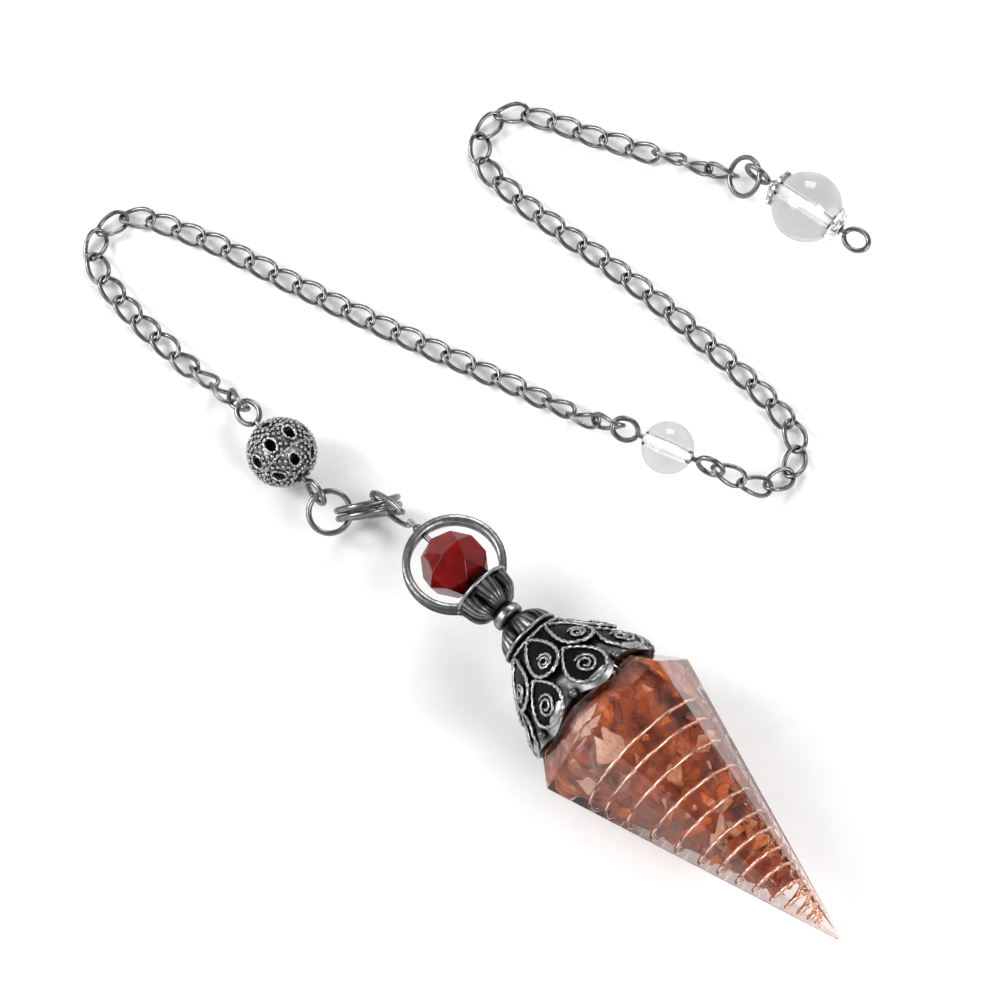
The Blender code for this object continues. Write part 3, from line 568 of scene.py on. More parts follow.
def glass(name, colour, haze, grain, rim):
    """Clear cast resin or glass, with faint flow in it and a darker rim that is painted shade. Light reaches
    what is inside.
    """
    made, tree, shader, place = start_material(name, Roughness=0.0, IOR=1.49, Transmission_Weight=1.0)
    flow = noise(tree, place, grain, 3.0, 0.5, 0.6)
    # Painted shade: the colour darkens towards the rim, where the surface is seen edge-on
    facing_share = add_node(tree, "ShaderNodeLayerWeight", {"Blend": 0.35}).outputs["Facing"]
    edge = ramp(tree, facing_share, [(0.35, grey(1.0)), (0.95, rim)])
    tint = ramp(tree, flow, [(0.3, colour), (0.7, haze)])
    tree.links.new(multiplied(tree, tint, edge), shader.inputs["Base Color"])
    bump(tree, shader, flow, 0.03, 0.35)
    rays = add_node(tree, "ShaderNodeLightPath")
    through = add_node(tree, "ShaderNodeBsdfTransparent", {"Color": (0.92, 0.9, 0.9, 1.0)})
    mixed = add_node(tree, "ShaderNodeMixShader")
    tree.links.new(rays.outputs["Is Shadow Ray"], mixed.inputs[0])
    tree.links.new(shader.outputs[0], mixed.inputs[1])
    tree.links.new(through.outputs[0], mixed.inputs[2])
    tree.links.new(mixed.outputs[0], tree.nodes["Material Output"].inputs["Surface"])
    return made


def copper_wire():
    """Polished rose copper with faint drawing marks."""
    made, tree, shader, place = start_material("copper_wire", Metallic=1.0)
    marks = noise(tree, place, 2.5, 4.0)
    paint(tree, shader, marks, [(0.35, (0.92, 0.52, 0.38)), (0.65, (1.0, 0.74, 0.60))])
    tree.links.new(spread(tree, marks, 0.12, 0.3, 0.3, 0.7), shader.inputs["Roughness"])
    bump(tree, shader, marks, 0.02, 0.4)
    return made


def agate():
    """Carnelian and agate chips: each has its tone, and soft bands and specks run through them."""
    made, tree, shader, place = start_material("agate", Roughness=0.22, Subsurface_Weight=0.35,
                                               Subsurface_Scale=0.001)
    shader.inputs["Subsurface Radius"].default_value = (1.0, 0.35, 0.15)
    tone = add_node(tree, "ShaderNodeAttribute", attribute_name="tone").outputs["Fac"]
    bands = noise(tree, place, 0.45, 4.0, 0.55, 1.6)
    crumbs = add_node(tree, "ShaderNodeTexVoronoi", {"Vector": place, "Scale": 0.5 / MM}).outputs["Color"]
    mixed = calculate(tree, "ADD", tone, spread(tree, bands, -0.17, 0.17, 0.3, 0.7))
    mixed = calculate(tree, "ADD", mixed, spread(tree, crumbs, -0.17, 0.17))
    colours = [(0.0, (0.06, 0.014, 0.008)), (0.2, (0.18, 0.038, 0.013)), (0.45, (0.29, 0.062, 0.018)),
               (0.65, (0.44, 0.10, 0.020)), (0.8, (0.45, 0.17, 0.06)), (0.95, (0.44, 0.27, 0.20))]
    specks = ramp(tree, noise(tree, place, 3.0, 2.0), [(0.25, (0.6, 0.5, 0.5)), (0.45, grey(1.0))])
    tree.links.new(multiplied(tree, ramp(tree, mixed, colours), specks), shader.inputs["Base Color"])
    bump(tree, shader, bands, 0.1, 0.5)
    return made


def red_stone():
    """Deep opaque red with a polished skin and faint clouds."""
    made, tree, shader, place = start_material("red_stone", Roughness=0.12, IOR=1.34)
    clouds = noise(tree, place, 0.35, 4.0, 0.6, 0.8)
    paint(tree, shader, clouds, [(0.35, (0.10, 0.002, 0.002)), (0.65, (0.19, 0.004, 0.003))])
    bump(tree, shader, noise(tree, place, 1.5, 2.0), 0.01, 0.3)
    return made


def matt(name, roughness, grain, tones, depth, strength):
    """Pale matt surface with an uneven tone. grain is in features to a millimetre."""
    made, tree, shader, place = start_material(name, Roughness=roughness)
    marks = noise(tree, place, grain)
    paint(tree, shader, marks, [(0.3, grey(tones[0])), (0.7, grey(tones[1]))])
    bump(tree, shader, marks, depth, strength)
    return made


# Frame of the point: Z along its axis from the tip, Y up

HEX = cos(pi / 6)
FLAT_SLOPE = atan((POINT_RADIUS - TIP_RADIUS) * HEX / POINT_LENGTH)
SHOULDER = POINT_LENGTH + CROWN_HEIGHT
CAP_BOTTOM = SHOULDER + GAP
CAP_TOP = CAP_BOTTOM + CAP_HEIGHT
CROWN_RIM = CAP_TOP + GAP
COLLAR_BOTTOM = CROWN_RIM + CROWN_CUP_HEIGHT
LOTUS_BOTTOM = COLLAR_BOTTOM + COLLAR_HEIGHT
LOTUS_RIM = LOTUS_BOTTOM + LOTUS_HEIGHT
LOTUS_FLOOR = LOTUS_RIM - LOTUS_DEPTH
RING_CENTRE = LOTUS_FLOOR - RING_SEAT + RING_RADIUS
RING_TOP = RING_CENTRE + RING_RADIUS


def point_frame():
    """Matrix of the point's frame on the table."""
    rise = radians(AXIS_RISE)
    across = radians(AXIS_HEADING)
    axis = Vector((-cos(rise) * cos(across), cos(rise) * sin(across), sin(rise)))
    up = (UP - axis.z * axis).normalized()
    height = POINT_RADIUS * HEX * cos(rise) - POINT_LENGTH * sin(rise)
    turn = Matrix((up.cross(axis), up, axis)).transposed().to_4x4()
    return Matrix.Translation(Vector((*TIP_PLACE, height))) @ turn


POINT = point_frame()


def lifted(height):
    """Matrix of a shift along Z."""
    return Matrix.Translation(UP * height)


def flat_radius(place, depth):
    """Half the width across flats at a height above the tip, inside a skin of resin."""
    if place > POINT_LENGTH:
        share = (place - POINT_LENGTH) / CROWN_HEIGHT
        return (POINT_RADIUS + (SHOULDER_RADIUS - POINT_RADIUS) * min(1.0, share)) * HEX - depth
    return (TIP_RADIUS * HEX) + place * tan(FLAT_SLOPE) - depth / cos(FLAT_SLOPE)


def make_resin(finish):
    """Solid six-sided point with its crown and the stub in the cap."""
    profile = [(0, 0.0), (TIP_RADIUS, 0.0), (POINT_RADIUS, POINT_LENGTH), (SHOULDER_RADIUS, SHOULDER),
               (PLUG_RADIUS, SHOULDER), (PLUG_RADIUS * PLUG_TAPER, SHOULDER + PLUG_HEIGHT),
               (0, SHOULDER + PLUG_HEIGHT)]
    make("point_resin", moved(turned(profile, 6), POINT), finish, ["resin_point"],
         smooth=None, bevel=EDGE_ROUND)


def make_coil(finish):
    """Coil whose turns cross the upper side at the measured heights."""
    steps = 40
    heights = [row[0] for row in curve_through([(place,) for place in COIL_CROSSINGS], steps)]
    path = []
    for step, place in enumerate(heights[:len(heights) - round(steps * COIL_END)]):
        radius = max(0.15, flat_radius(place, COIL_DEPTH) - COIL_WIRE / 2)
        path.append(on_circle(radius, pi / 2 - tau * step / steps, place))
    make("coil_wire", moved(tube(path, COIL_WIRE, 10, False), POINT), finish, ["copper_coil"])


def chip(place, size, chance):
    """One broken chip: the hull of uneven corners."""
    work = bmesh.new()
    stretch = Vector((1.0, chance.uniform(0.55, 0.95), chance.uniform(0.4, 0.75)))
    angle = chance.uniform(0, tau)
    axle = Vector([chance.uniform(-1, 1) for axis in range(3)]).normalized()
    turn = Matrix.Rotation(angle, 3, axle)
    for corner in range(CHIP_CORNERS):
        way = Vector([chance.gauss(0, 1) for axis in range(3)]).normalized() * chance.uniform(0.85, 1.0)
        work.verts.new(place + turn @ (way * stretch) * size / 2)
    result = bmesh.ops.convex_hull(work, input=work.verts)
    inside = [item for item in result["geom_interior"] if isinstance(item, bmesh.types.BMVert)]
    bmesh.ops.delete(work, geom=inside, context="VERTS")
    return read_shape(work)


def flat_share(angle):
    """Distance of a six-sided outline's flat from its middle, over that along an angle."""
    return cos((angle + pi / 6) % (pi / 3) - pi / 6)


def make_chips(finish):
    """Chips packed in the point, smaller towards the tip, some with a set tone."""
    chance = random.Random(CHIP_SEED)
    spots = []
    tries = 0
    while len(spots) < CHIPS and tries < CHIP_TRIES:
        tries += 1
        place = CHIP_TOP * chance.random() ** 0.45
        if place < CHIP_BOTTOM:
            continue
        size = CHIP_SIZES[0] + (CHIP_SIZES[1] - CHIP_SIZES[0]) * min(1.0, place / POINT_LENGTH)
        size *= chance.uniform(0.75, 1.2)
        depth = COIL_DEPTH + COIL_WIRE + 0.1 if place < COIL_TOP else CHIP_DEPTH
        room = flat_radius(place, depth) - size * 0.4
        if room < 0.1 or place + size / 2 > SHOULDER + 0.2:
            continue
        angle = chance.uniform(0, tau)
        spot = on_circle(room * chance.random() ** 0.15 / flat_share(angle), angle, place)
        if any((spot - other).length < CHIP_SPACING * (size + wide) for other, wide, shade in spots):
            continue
        spots.append((spot, size, chance.random()))
    parts = []
    for spot, size, shade in spots:
        tone = 0.2 + 0.62 * shade if shade < 0.92 else 0.9
        for place, across, reach, accent in ACCENTS:
            if hypot(spot.z - place, spot.x - across) < reach and spot.y > 0:
                tone = accent
        parts.append((chip(spot, size, chance), tone))
    shape, tones = toned(parts)
    make("chips", moved(shape, POINT), finish, ["stone_chips"], smooth=25, tones=tones)


def make_chip_bed(finish):
    """Crumbs between the chips: a lumpy body that follows the point's six sides."""
    profile = []
    steps = 48
    for step in range(steps + 1):
        place = BED_BOTTOM + (CHIP_TOP - BED_BOTTOM) * step / steps
        depth = COIL_DEPTH + COIL_WIRE + 1.1 if place < COIL_TOP else CHIP_DEPTH + 1.3
        profile.append((max(0.2, flat_radius(place, depth)), place))

    def lumps(row, angle):
        radius, place = profile[row]
        lump = smooth_noise(on_circle(radius, angle, place) * 0.4)
        return (0.96 + 0.06 * lump) / flat_share(angle), 0.0

    bed = turned([(0, BED_BOTTOM - 0.2)] + profile + [(0, CHIP_TOP + 0.2)], 144, lumps)
    tones = [0.3 + 0.4 * smooth_noise(point * 0.35 + Vector((5.0, 5.0, 5.0))) for point in bed[0]]
    make("chip_bed", moved(bed, POINT), finish, smooth=25, tones=tones)


# Bell cap: ground profile as (share of the height from the top, share of the rim radius)

BELL = [(0.0, 0.42), (0.07, 0.43), (0.12, 0.47), (0.20, 0.56), (0.32, 0.65), (0.43, 0.72), (0.50, 0.76),
        (0.57, 0.81), (0.67, 0.87), (0.77, 0.93), (0.85, 0.98), (0.92, 1.0), (1.0, 1.0)]


def bell_radius(share):
    """Radius of the bell's ground at a share of its height from the top."""
    for (low, first), (high, last) in zip(BELL, BELL[1:]):
        if share <= high:
            return CAP_RIM_RADIUS * (first + (last - first) * (share - low) / (high - low))
    return CAP_RIM_RADIUS


def on_bell(angle, share, lift):
    """Point over the bell's ground, in the point's frame, and the way out of the ground there."""
    radius = bell_radius(share)
    slope = (bell_radius(min(1, share + 0.04)) - bell_radius(max(0, share - 0.04))) / (0.08 * CAP_HEIGHT)
    around = on_circle(1.0, angle)
    out = (around + UP * slope).normalized()
    return around * radius + UP * (CAP_TOP - share * CAP_HEIGHT) + out * lift, out


def petal_point(size, middle, along, across):
    """Point over the bell on a petal, and the way out of the bell there. along runs from 0 at the petal's
    pointed end to 1 at its round end, which stands off the bell, and across from -1 to 1."""
    top, bottom, width, lift = size
    share = top + (bottom - top) * along
    turn = acos(1 - 2 * min(1.0, max(0.0, along)))
    reach = sin(turn) * sin(turn / 2) ** 0.9 * width / 2 * 1.15
    rise = lift * max(0.0, along) ** 1.5 * (1 - 0.25 * across * across) + 0.1
    return on_bell(middle + across * reach / bell_radius(share), share, rise)


def make_petal(size, middle):
    """Domed plate of one petal with a roped rim and a scroll near its round end. Shape and tones."""
    rows = 20
    columns = 12
    span = columns + 1
    points = []
    for row in range(rows + 1):
        along = (1 - cos(pi * (0.03 + 0.94 * row / rows))) / 2
        points += [petal_point(size, middle, along, 2 * column / columns - 1)[0] for column in range(span)]
    count = len(points)
    centre = UP * points[count // 2].z
    points += [point + (centre - point).normalized() * PETAL_WALL for point in points]
    faces = []
    for row in range(rows):
        for corner in range(row * span, row * span + columns):
            face = [corner, corner + 1, corner + span + 1, corner + span]
            faces += [face, [count + index for index in face[::-1]]]
    border = (list(range(columns)) + [row * span + columns for row in range(rows)]
              + [rows * span + column for column in range(columns, 0, -1)]
              + [row * span for row in range(rows, 0, -1)])
    for corner, after in zip(border, border[1:] + border[:1]):
        faces.append([corner, count + corner, count + after, after])
    rim = []
    for step in range(96):
        turn = tau * step / 96
        place, out = petal_point(size, middle, (1 - cos(turn)) / 2, 1 if turn < pi else -1)
        rim.append(place + out * 0.1)
    top, bottom, width, lift = size
    height = (bottom - top) * CAP_HEIGHT
    heart = 0.97 - width * 0.36 / height
    around = Vector((-sin(middle), cos(middle), 0))
    scroll = []
    for step in range(56):
        share = step / 55
        turn = pi * (3.4 * share - 0.6)
        reach = width * (0.25 - 0.17 * share)
        place, out = petal_point(size, middle, heart + reach * sin(turn) / height, 0)
        scroll.append(place + around * (reach * cos(turn)) + out * 0.12)
    up = petal_point(size, middle, 0.5, 0)[1]
    return toned([((points, faces), 0.22), (rope(rim, ROPE_WIRE, True, up), 0.95),
                  (rope(scroll, SCROLL_WIRE, False, up, 0.6), 0.95)])


def make_cap(finish):
    """Bell with two tiers of roped petals, a scroll in each, and thick plain lobes along its rim."""
    sides = 160
    steps = 40
    outer = [(bell_radius(step / steps), CAP_TOP - CAP_HEIGHT * step / steps, step / steps)
             for step in range(steps + 1)]
    rows = outer + [(radius - CAP_WALL, height, share)
                    for radius, height, share in outer[::-1] if share > 0.08]

    def edge_share(angle):
        """0 in the middle of a lobe, 1 between two."""
        return (1 - cos(PETALS * angle)) / 2

    def lobes(row, angle):
        radius, height, share = rows[row]
        edge = edge_share(angle)
        rise = NOTCH_DEPTH * edge * max(0.0, (share - 0.55) / 0.45) ** 2
        if row >= len(outer):
            return 1.0, rise
        swell = max(0.0, (share - 0.72) / 0.28)
        thick = LOBE_FLARE * (1 - edge) ** 0.7 * min(1.0, swell * 1.6)
        groove = 0.3 * edge ** 6 * min(1.0, swell * 2)
        drop = MARGIN_DROP * sin(3 * angle) ** 2 * max(0.0, (share - 0.75) / 0.25)
        return 1 + (thick - groove) / radius, rise - drop

    profile = [(0, CAP_TOP)] + [(radius, height) for radius, height, share in rows] + [(0, rows[-1][1])]
    tones = []
    for radius, height, share in outer:
        for side in range(sides):
            edge = edge_share(tau * side / sides)
            bright = max(0.0, min(1.0, (share - 0.80 + 0.16 * edge) / 0.08))
            tones.append(0.12 + 0.83 * bright * (1 - 0.6 * edge ** 4))
    tones += [0.3] * (len(rows) - len(outer)) * sides + [0.1, 0.1]
    parts = [(turned(profile, sides, lobes), tones)]
    for size, first in zip(PETAL_SIZES, (0.5, 0.0)):
        parts += [make_petal(size, tau * (petal + first) / PETALS) for petal in range(PETALS)]
    for petal in range(PETALS):
        place = on_bell(tau * (petal + 0.5) / PETALS, 0.93, 0.05)[0]
        parts.append((ball(place, KNOT_RADIUS, 8, 12), 0.6))
    neck = [on_bell(tau * step / 96, 0.03, 0.0)[0] for step in range(96)]
    shape, tones = toned(parts + [(rope(neck, ROPE_WIRE, True, UP), 0.95)])
    make("cap", moved(shape, POINT), finish, ["scroll_cap"], tones=tones)


def ring_section():
    """Section of the ring frame as (radius, depth): rounded edges, a hollow face and a groove in front.
    Also the tone of each of its points."""
    half = RING_DEPTH / 2
    inner = RING_RADIUS - RING_THICKNESS
    middle = RING_RADIUS - RING_THICKNESS / 2
    edge = 0.16
    groove = 0.12
    section = [(RING_RADIUS - edge, -half), (RING_RADIUS, edge - half), (RING_RADIUS - 0.1, 0),
               (RING_RADIUS, half - edge), (RING_RADIUS - edge, half), (middle + groove, half - 0.02),
               (middle, half - 0.14), (middle - groove, half - 0.02), (inner + edge, half),
               (inner, half - edge), (inner + 0.1, 0), (inner, edge - half), (inner + edge, -half)]
    return section, [0.35 if spot in (1, 2, 3, 6, 10) else 0.85 for spot in range(len(section))]


def make_casting(finish):
    """Crown cup, collar, lotus cup and the ring frame."""
    crown = curve_through([(1.0, 0.0), (1.0, 0.06), (0.97, 0.25), (0.84, 0.6), (0.58, 0.88)], 5)
    knob = curve_through([(COLLAR_NECK, 0.0), (COLLAR_RADIUS * 0.97, 0.2), (COLLAR_RADIUS, 0.42),
                          (COLLAR_RADIUS * 0.95, 0.7), (COLLAR_NECK, 1.0)], 4)
    lotus = curve_through([(0.66, 0.1), (0.86, 0.32), (0.95, 0.66), (1.0, 1.0)], 6)
    lip = LOTUS_RADIUS - CUP_WALL
    outer = [(CROWN_CUP_RADIUS * share, CROWN_RIM + CROWN_CUP_HEIGHT * rise, 1 - rise)
             for share, rise in crown]
    outer += [(radius, COLLAR_BOTTOM + COLLAR_HEIGHT * rise, None) for radius, rise in knob]
    outer += [(LOTUS_RADIUS * share, LOTUS_BOTTOM + LOTUS_HEIGHT * rise, rise) for share, rise in lotus]
    outer += [(lip, LOTUS_RIM, 1.0), (lip * 0.95, LOTUS_RIM - 0.6, None),
              (LOTUS_RADIUS * 0.66, LOTUS_FLOOR + 0.1, None)]

    def relief(opened, angle):
        """Swell of a cup's lobe, and of the ribs that fan out from its foot. Both from 0 to 1."""
        across = (CUP_LOBES * angle / tau) % 1 - 0.5
        rib = cos(tau * LINES_PER_LOBE * across / (0.45 + 0.55 * opened))
        return cos(pi * across) ** 0.55, (1 + rib) / 2

    def gadroons(row, angle):
        if outer[row][2] is None:
            return 1.0, 0.0
        lobe, rib = relief(outer[row][2], angle)
        return 0.77 + 0.19 * lobe + 0.04 * rib * lobe, 0.0

    sides = 320
    profile = [(0, CROWN_RIM)] + [(radius, height) for radius, height, opened in outer] + [(0, LOTUS_FLOOR)]
    tones = []
    for radius, height, opened in outer:
        for side in range(sides):
            lobe, rib = relief(opened or 0.0, tau * side / sides)
            tones.append(0.8 if opened is None else (0.2 + 0.8 * lobe ** 2) * (0.4 + 0.6 * rib))
    rim = tube(circle(LOTUS_RADIUS * 0.965, 96, LOTUS_RIM - 0.2), 0.42, 10, True)
    foot = tube(circle(CROWN_CUP_RADIUS * 0.955, 96, CROWN_RIM + 0.22), 0.42, 10, True)
    ring_sides = 128
    section, section_tones = ring_section()
    band = moved(turned(section, ring_sides), lifted(RING_CENTRE) @ Matrix.Rotation(pi / 2, 4, "X"))
    band_tones = [tone for tone in section_tones for side in range(ring_sides)]
    socket = tube([UP * (RING_TOP - 0.35), UP * (RING_TOP + 0.05)], 1.2, 16, False, Vector((1, 0, 0)))
    shape, tones = toned([(turned(profile, sides, gadroons), tones + [0.3, 0.3]), (rim, 0.9), (foot, 0.9),
                          (band, band_tones), (socket, 0.7)])
    make("ring_casting", moved(shape, POINT), finish, ["ring_bail"], smooth=50, tones=tones)


def make_red_bead(finish):
    """Star-cut bead, edges softened by polishing."""
    work = bmesh.new()
    bmesh.ops.create_icosphere(work, subdivisions=1, radius=1.0)
    middles = [(edge.verts[0].co + edge.verts[1].co).normalized() * RED_BEAD / 2 for edge in work.edges]
    work.free()
    hull = bmesh.new()
    for middle in middles:
        hull.verts.new(middle)
    bmesh.ops.convex_hull(hull, input=hull.verts)
    bmesh.ops.dissolve_limit(hull, angle_limit=radians(1), verts=hull.verts, edges=hull.edges)
    place = POINT @ lifted(RING_CENTRE) @ Matrix.Rotation(0.35, 4, "Z") @ Matrix.Rotation(0.2, 4, "X")
    make("red_stone_bead", moved(read_shape(hull), place), finish, ["red_bead"], smooth=None,
         bevel=0.09)


def make_bead_pin(finish):
    """Pin through the red bead and the ring frame, with the large loop and a domed head."""
    droop = radians(LOOP_DROOP + AXIS_RISE)
    neck = RING_TOP + PIN_WIRE / 2 + LOOP_STANDOFF
    loop_frame = lifted(neck) @ Matrix.Rotation(droop, 4, "X") @ Matrix.Rotation(pi / 2, 4, "Z")
    bottom = RING_CENTRE - RED_BEAD / 2 - GAP / 2
    path = [UP * height for height in (bottom, bottom + 4, neck - 1.2, neck - 0.5)]
    path += [loop_frame @ Vector((across, 0, along))
             for across, along in oval(LOOP_LENGTH, LOOP_WIDTH, PIN_WIRE, -LOOP_SWEEP, 63)]
    head = [(0, bottom - PIN_WIRE * 0.7), (PIN_HEAD * 0.3, bottom - PIN_WIRE * 0.66),
            (PIN_HEAD * 0.45, bottom - PIN_WIRE * 0.5), (PIN_HEAD / 2, bottom - 0.2),
            (PIN_HEAD * 0.46, bottom), (0, bottom)]
    shapes = [tube(path, PIN_WIRE, 14, False, Vector((0, 1, 0.2))), turned(head, 24)]
    make("loop_pin", moved(together(shapes), POINT), finish, ["bead_pin"])


def make_rings(finish):
    """Split ring and jump ring between the point and the ball, and the end ring."""
    radius = (SPLIT_RING - SPLIT_WIRE) / 2
    steps = 160
    split = [on_circle(radius, radians(20 + SPLIT_SWEEP * step / steps), SPLIT_RISE * (step / steps - 0.5))
             for step in range(steps + 1)]
    jump = circle((JUMP_RING - JUMP_WIRE) / 2, 72)
    last = circle((END_RING - END_RING_WIRE) / 2, 72)
    for name, node, path, wire, closed, place, normal in (
            ("ring_double", "split_ring", split, SPLIT_WIRE, False, SPLIT_PLACE, SPLIT_NORMAL),
            ("ring_round", "jump_ring", jump, JUMP_WIRE, True, JUMP_PLACE, JUMP_NORMAL),
            ("ring_last", "end_ring", last, END_RING_WIRE, True, END_RING_PLACE, END_RING_NORMAL)):
        placed = Matrix.Translation(place) @ facing(normal, Vector((1, 0, 0)))
        make(name, moved(tube(path, wire, 14, closed), placed), finish, [node])


# Beads

def bead_frame(place, size, direction):
    """Frame of a bead on the table, with Z along its pin and X up."""
    return Matrix.Translation(Vector((*place, size / 2))) @ facing(direction, UP)


def eye_points(reach, away, roll):
    """Centre line of one eye: from the stem's end round an oval, nearly back to the stem."""
    return [heading(roll) * across + UP * (away * (reach + along))
            for across, along in oval(EYE_LENGTH, EYE_WIDTH, PIN_WIRE, EYE_SWEEP, 45)]


def make_eyes(name, node, place, reach, rolls, finish):
    """Pin through a bead, with an eye at each end."""
    start = reach + STEM + PIN_WIRE / 2
    near = eye_points(start, 1, rolls[0])
    far = eye_points(start, -1, rolls[1])
    stem = [UP * height for height in (0.25 - start, 0, start - 0.25)]
    pin = tube(far[::-1] + stem + near, PIN_WIRE, 12, False, Vector((0.3, 0.2, 1)))
    make(name, moved(pin, place), finish, [node])


def make_glass_bead(name, node, place, size, finish):
    """Round drilled bead."""
    lean = asin(BEAD_BORE / size)
    profile = arc(size / 2, lean, pi - lean, 40)
    make(name, moved(turned(profile, 72), place), finish, [node], smooth=45)


def make_bores(places, finish):
    """Frosted skin of the bores of the clear beads."""
    sleeves = []
    outer = BEAD_BORE / 2 - 0.02
    inner = outer - 0.08
    for place, size in places:
        reach = sqrt(size ** 2 - BEAD_BORE ** 2) / 2 - 0.1
        section = [(outer, -reach), (outer, reach), (inner, reach), (inner, -reach)]
        sleeves.append(moved(turned(section, 32), place))
    make("bead_bores", together(sleeves), finish, smooth=45)


def make_bead_caps(place, finish):
    """Flower caps with eight domed petals at both ends of the end bead."""
    inside = END_BEAD / 2 + GAP * 1.1
    outside = inside + BEAD_CAP_WALL
    bore = PIN_WIRE / 2 + GAP
    lean = asin(BEAD_CAP / 2 / outside)
    rows = [(outside, step / 14) for step in range(15)] + [(inside, 1 - step / 6) for step in range(7)]
    for name, away in (("inner", 1), ("outer", -1)):
        profile = []
        for radius, share in rows:
            angle = asin(bore / radius) * (1 - share) + lean * share
            profile.append((radius * sin(angle), away * radius * cos(angle)))

        def petals(row, angle):
            radius, share = rows[row]
            between = 1 - abs(cos(BEAD_CAP_PETALS / 2 * angle)) ** 0.6
            fall = 0.2025 * between * max(0.0, share - 0.25) if radius == outside else 0.0
            return 1 - 0.17 * between * max(0.0, share - 0.35) / 0.65, -away * fall

        collar = tube(circle(bore + 0.32, 40, away * (outside - 0.12)), 0.36, 10, True)
        grains = [ball(on_circle(1.55, tau * (step + 0.5) / BEAD_CAP_PETALS, away * (outside - 0.36)), 0.16)
                  for step in range(BEAD_CAP_PETALS)]
        shapes = [turned(profile, 128, petals), collar] + grains
        make("flower_cap_" + name, moved(together(shapes), place), finish,
             ["end_bead_cap_" + name])


def ball_point(polar, angle, radius):
    """Point at an angle from the pole and an angle round the pin."""
    return on_circle(radius * sin(polar), angle, radius * cos(polar))


def make_filigree(place, finish, shade):
    """Pierced ball: a thin shell with oval openings, roped rings round them, ridges and grains."""
    radius = BALL / 2 - BALL_TRIM
    holes = []
    for row, (polar, count, size) in enumerate(OPENING_ROWS):
        for number in range(count):
            way = ball_point(polar, tau * (number + 0.5 * (row % 2)) / count, 1.0)
            holes.append((facing(way, UP), size))

    def opening(way, margin):
        """Whether a direction falls into an opening or into the margin round it."""
        for turn, size in holes:
            off = turn.transposed() @ (way * radius)
            if off.z > 0 and hypot(off.x / OPENING_STRETCH, off.y) < size + margin:
                return True
        return False

    columns = 120
    rows = 76
    work = bmesh.new()
    grid = []
    for row in range(rows + 1):
        polar = POLE_HOLE + (pi - 2 * POLE_HOLE) * row / rows
        grid.append([work.verts.new(ball_point(polar, tau * side / columns, radius))
                     for side in range(columns)])
    for row in range(rows):
        for side in range(columns):
            after = (side + 1) % columns
            corners = (grid[row][side], grid[row + 1][side], grid[row + 1][after], grid[row][after])
            middle = sum((corner.co for corner in corners), Vector()) / 4 / radius
            if not opening(middle, 0.0):
                work.faces.new(corners)
    bmesh.ops.delete(work, geom=[corner for corner in work.verts if not corner.link_faces], context="VERTS")
    work.verts.index_update()
    bmesh.ops.recalc_face_normals(work, faces=work.faces)
    bmesh.ops.solidify(work, geom=work.faces, thickness=BALL_SHELL)
    shapes = [read_shape(work)]
    for turn, size in holes:
        ring = [Vector((point.x * OPENING_STRETCH, point.y, radius)).normalized() * (radius + 0.1)
                for point in circle(size + 0.06, 40)]
        shapes.append(rope([turn @ point for point in ring], OPENING_ROPE, True, turn.col[2].xyz, 0.5))
    for polar in RIDGES:
        ring = circle(sin(polar) * (radius + 0.05), 160, cos(polar) * (radius + 0.05))
        shapes.append(rope(ring, RIDGE_ROPE, True, ball_point(polar, 0, 1), 0.6))
    for number in range(GRANULES):
        polar = acos(1 - 2 * (number + 0.5) / GRANULES)
        way = ball_point(polar, number * pi * (3 - sqrt(5)), 1.0)
        if POLE_HOLE < polar < pi - POLE_HOLE and not opening(way, 0.26):
            shapes.append(ball(way * (radius + 0.08), GRANULE_RADIUS))
    make("filigree", moved(together(shapes), place), finish, ["filigree_ball"], smooth=50)
    # Black ball inside: painted shade of the hollow, seen through the openings
    make("filigree_painted_shade", moved(ball(Vector(), BALL_PAINTED_SHADE, 16, 32), place), shade)


# Curb chain

def link_lift():
    """Height of the bend in a link that carries it over and under its neighbours."""
    crossing = acos(LINK_PITCH / (LINK_LENGTH - LINK_WIRE))
    return LINK_LIFT * LINK_WIRE / sin(2 * crossing)


def lying_height(roll):
    """Height of the middle of a link that touches the table."""
    edge = hypot((LINK_WIDTH - LINK_WIRE) / 2 * sin(radians(roll)), link_lift())
    return edge + LINK_WIRE * (0.5 + LINK_OFFSET)


def chain_links(stations):
    """Evenly spaced links along the route: place, direction and turn of each."""
    fine = [Vector(row) for row in curve_through(stations, 12)]
    lengths = distances(fine)
    count = max(2, round(lengths[-1] / LINK_PITCH))
    places = []
    for number in range(count + 1):
        goal = lengths[-1] * number / count
        index = max(i for i in range(len(fine) - 1) if lengths[i] <= goal + 1e-6)
        share = (goal - lengths[index]) / (lengths[index + 1] - lengths[index])
        places.append(fine[index].lerp(fine[index + 1], share))
    links = []
    for number, place in enumerate(places):
        before = places[max(0, number - 1)].xyz
        after = places[min(count, number + 1)].xyz
        links.append((place.xyz, (after - before).normalized(), place.w))
    return links


def link_shape(place, ahead, roll, offset):
    """One oval link, bent so that its ends pass over and under its neighbours'."""
    half_length = (LINK_LENGTH - LINK_WIRE) / 2
    half_width = (LINK_WIDTH - LINK_WIRE) / 2
    up = Matrix.Rotation(radians(roll), 3, ahead) @ (UP - ahead.z * ahead).normalized()
    aside = up.cross(ahead)
    path = []
    steps = 44
    for step in range(steps):
        turn = tau * step / steps
        path.append(place + ahead * (half_length * cos(turn)) + aside * (half_width * sin(turn))
                    + up * (link_lift() * sin(2 * turn) + offset))
    return tube(path, LINK_WIRE, 12, True, up)


def eye_wire(frame, size, direction):
    """Where a chain hangs on the eye beside a bead, and how far its end link's middle is from there."""
    return frame.translation + direction * (size / 2 + STEM + EYE_LENGTH - PIN_WIRE / 2), EYE_HOOK


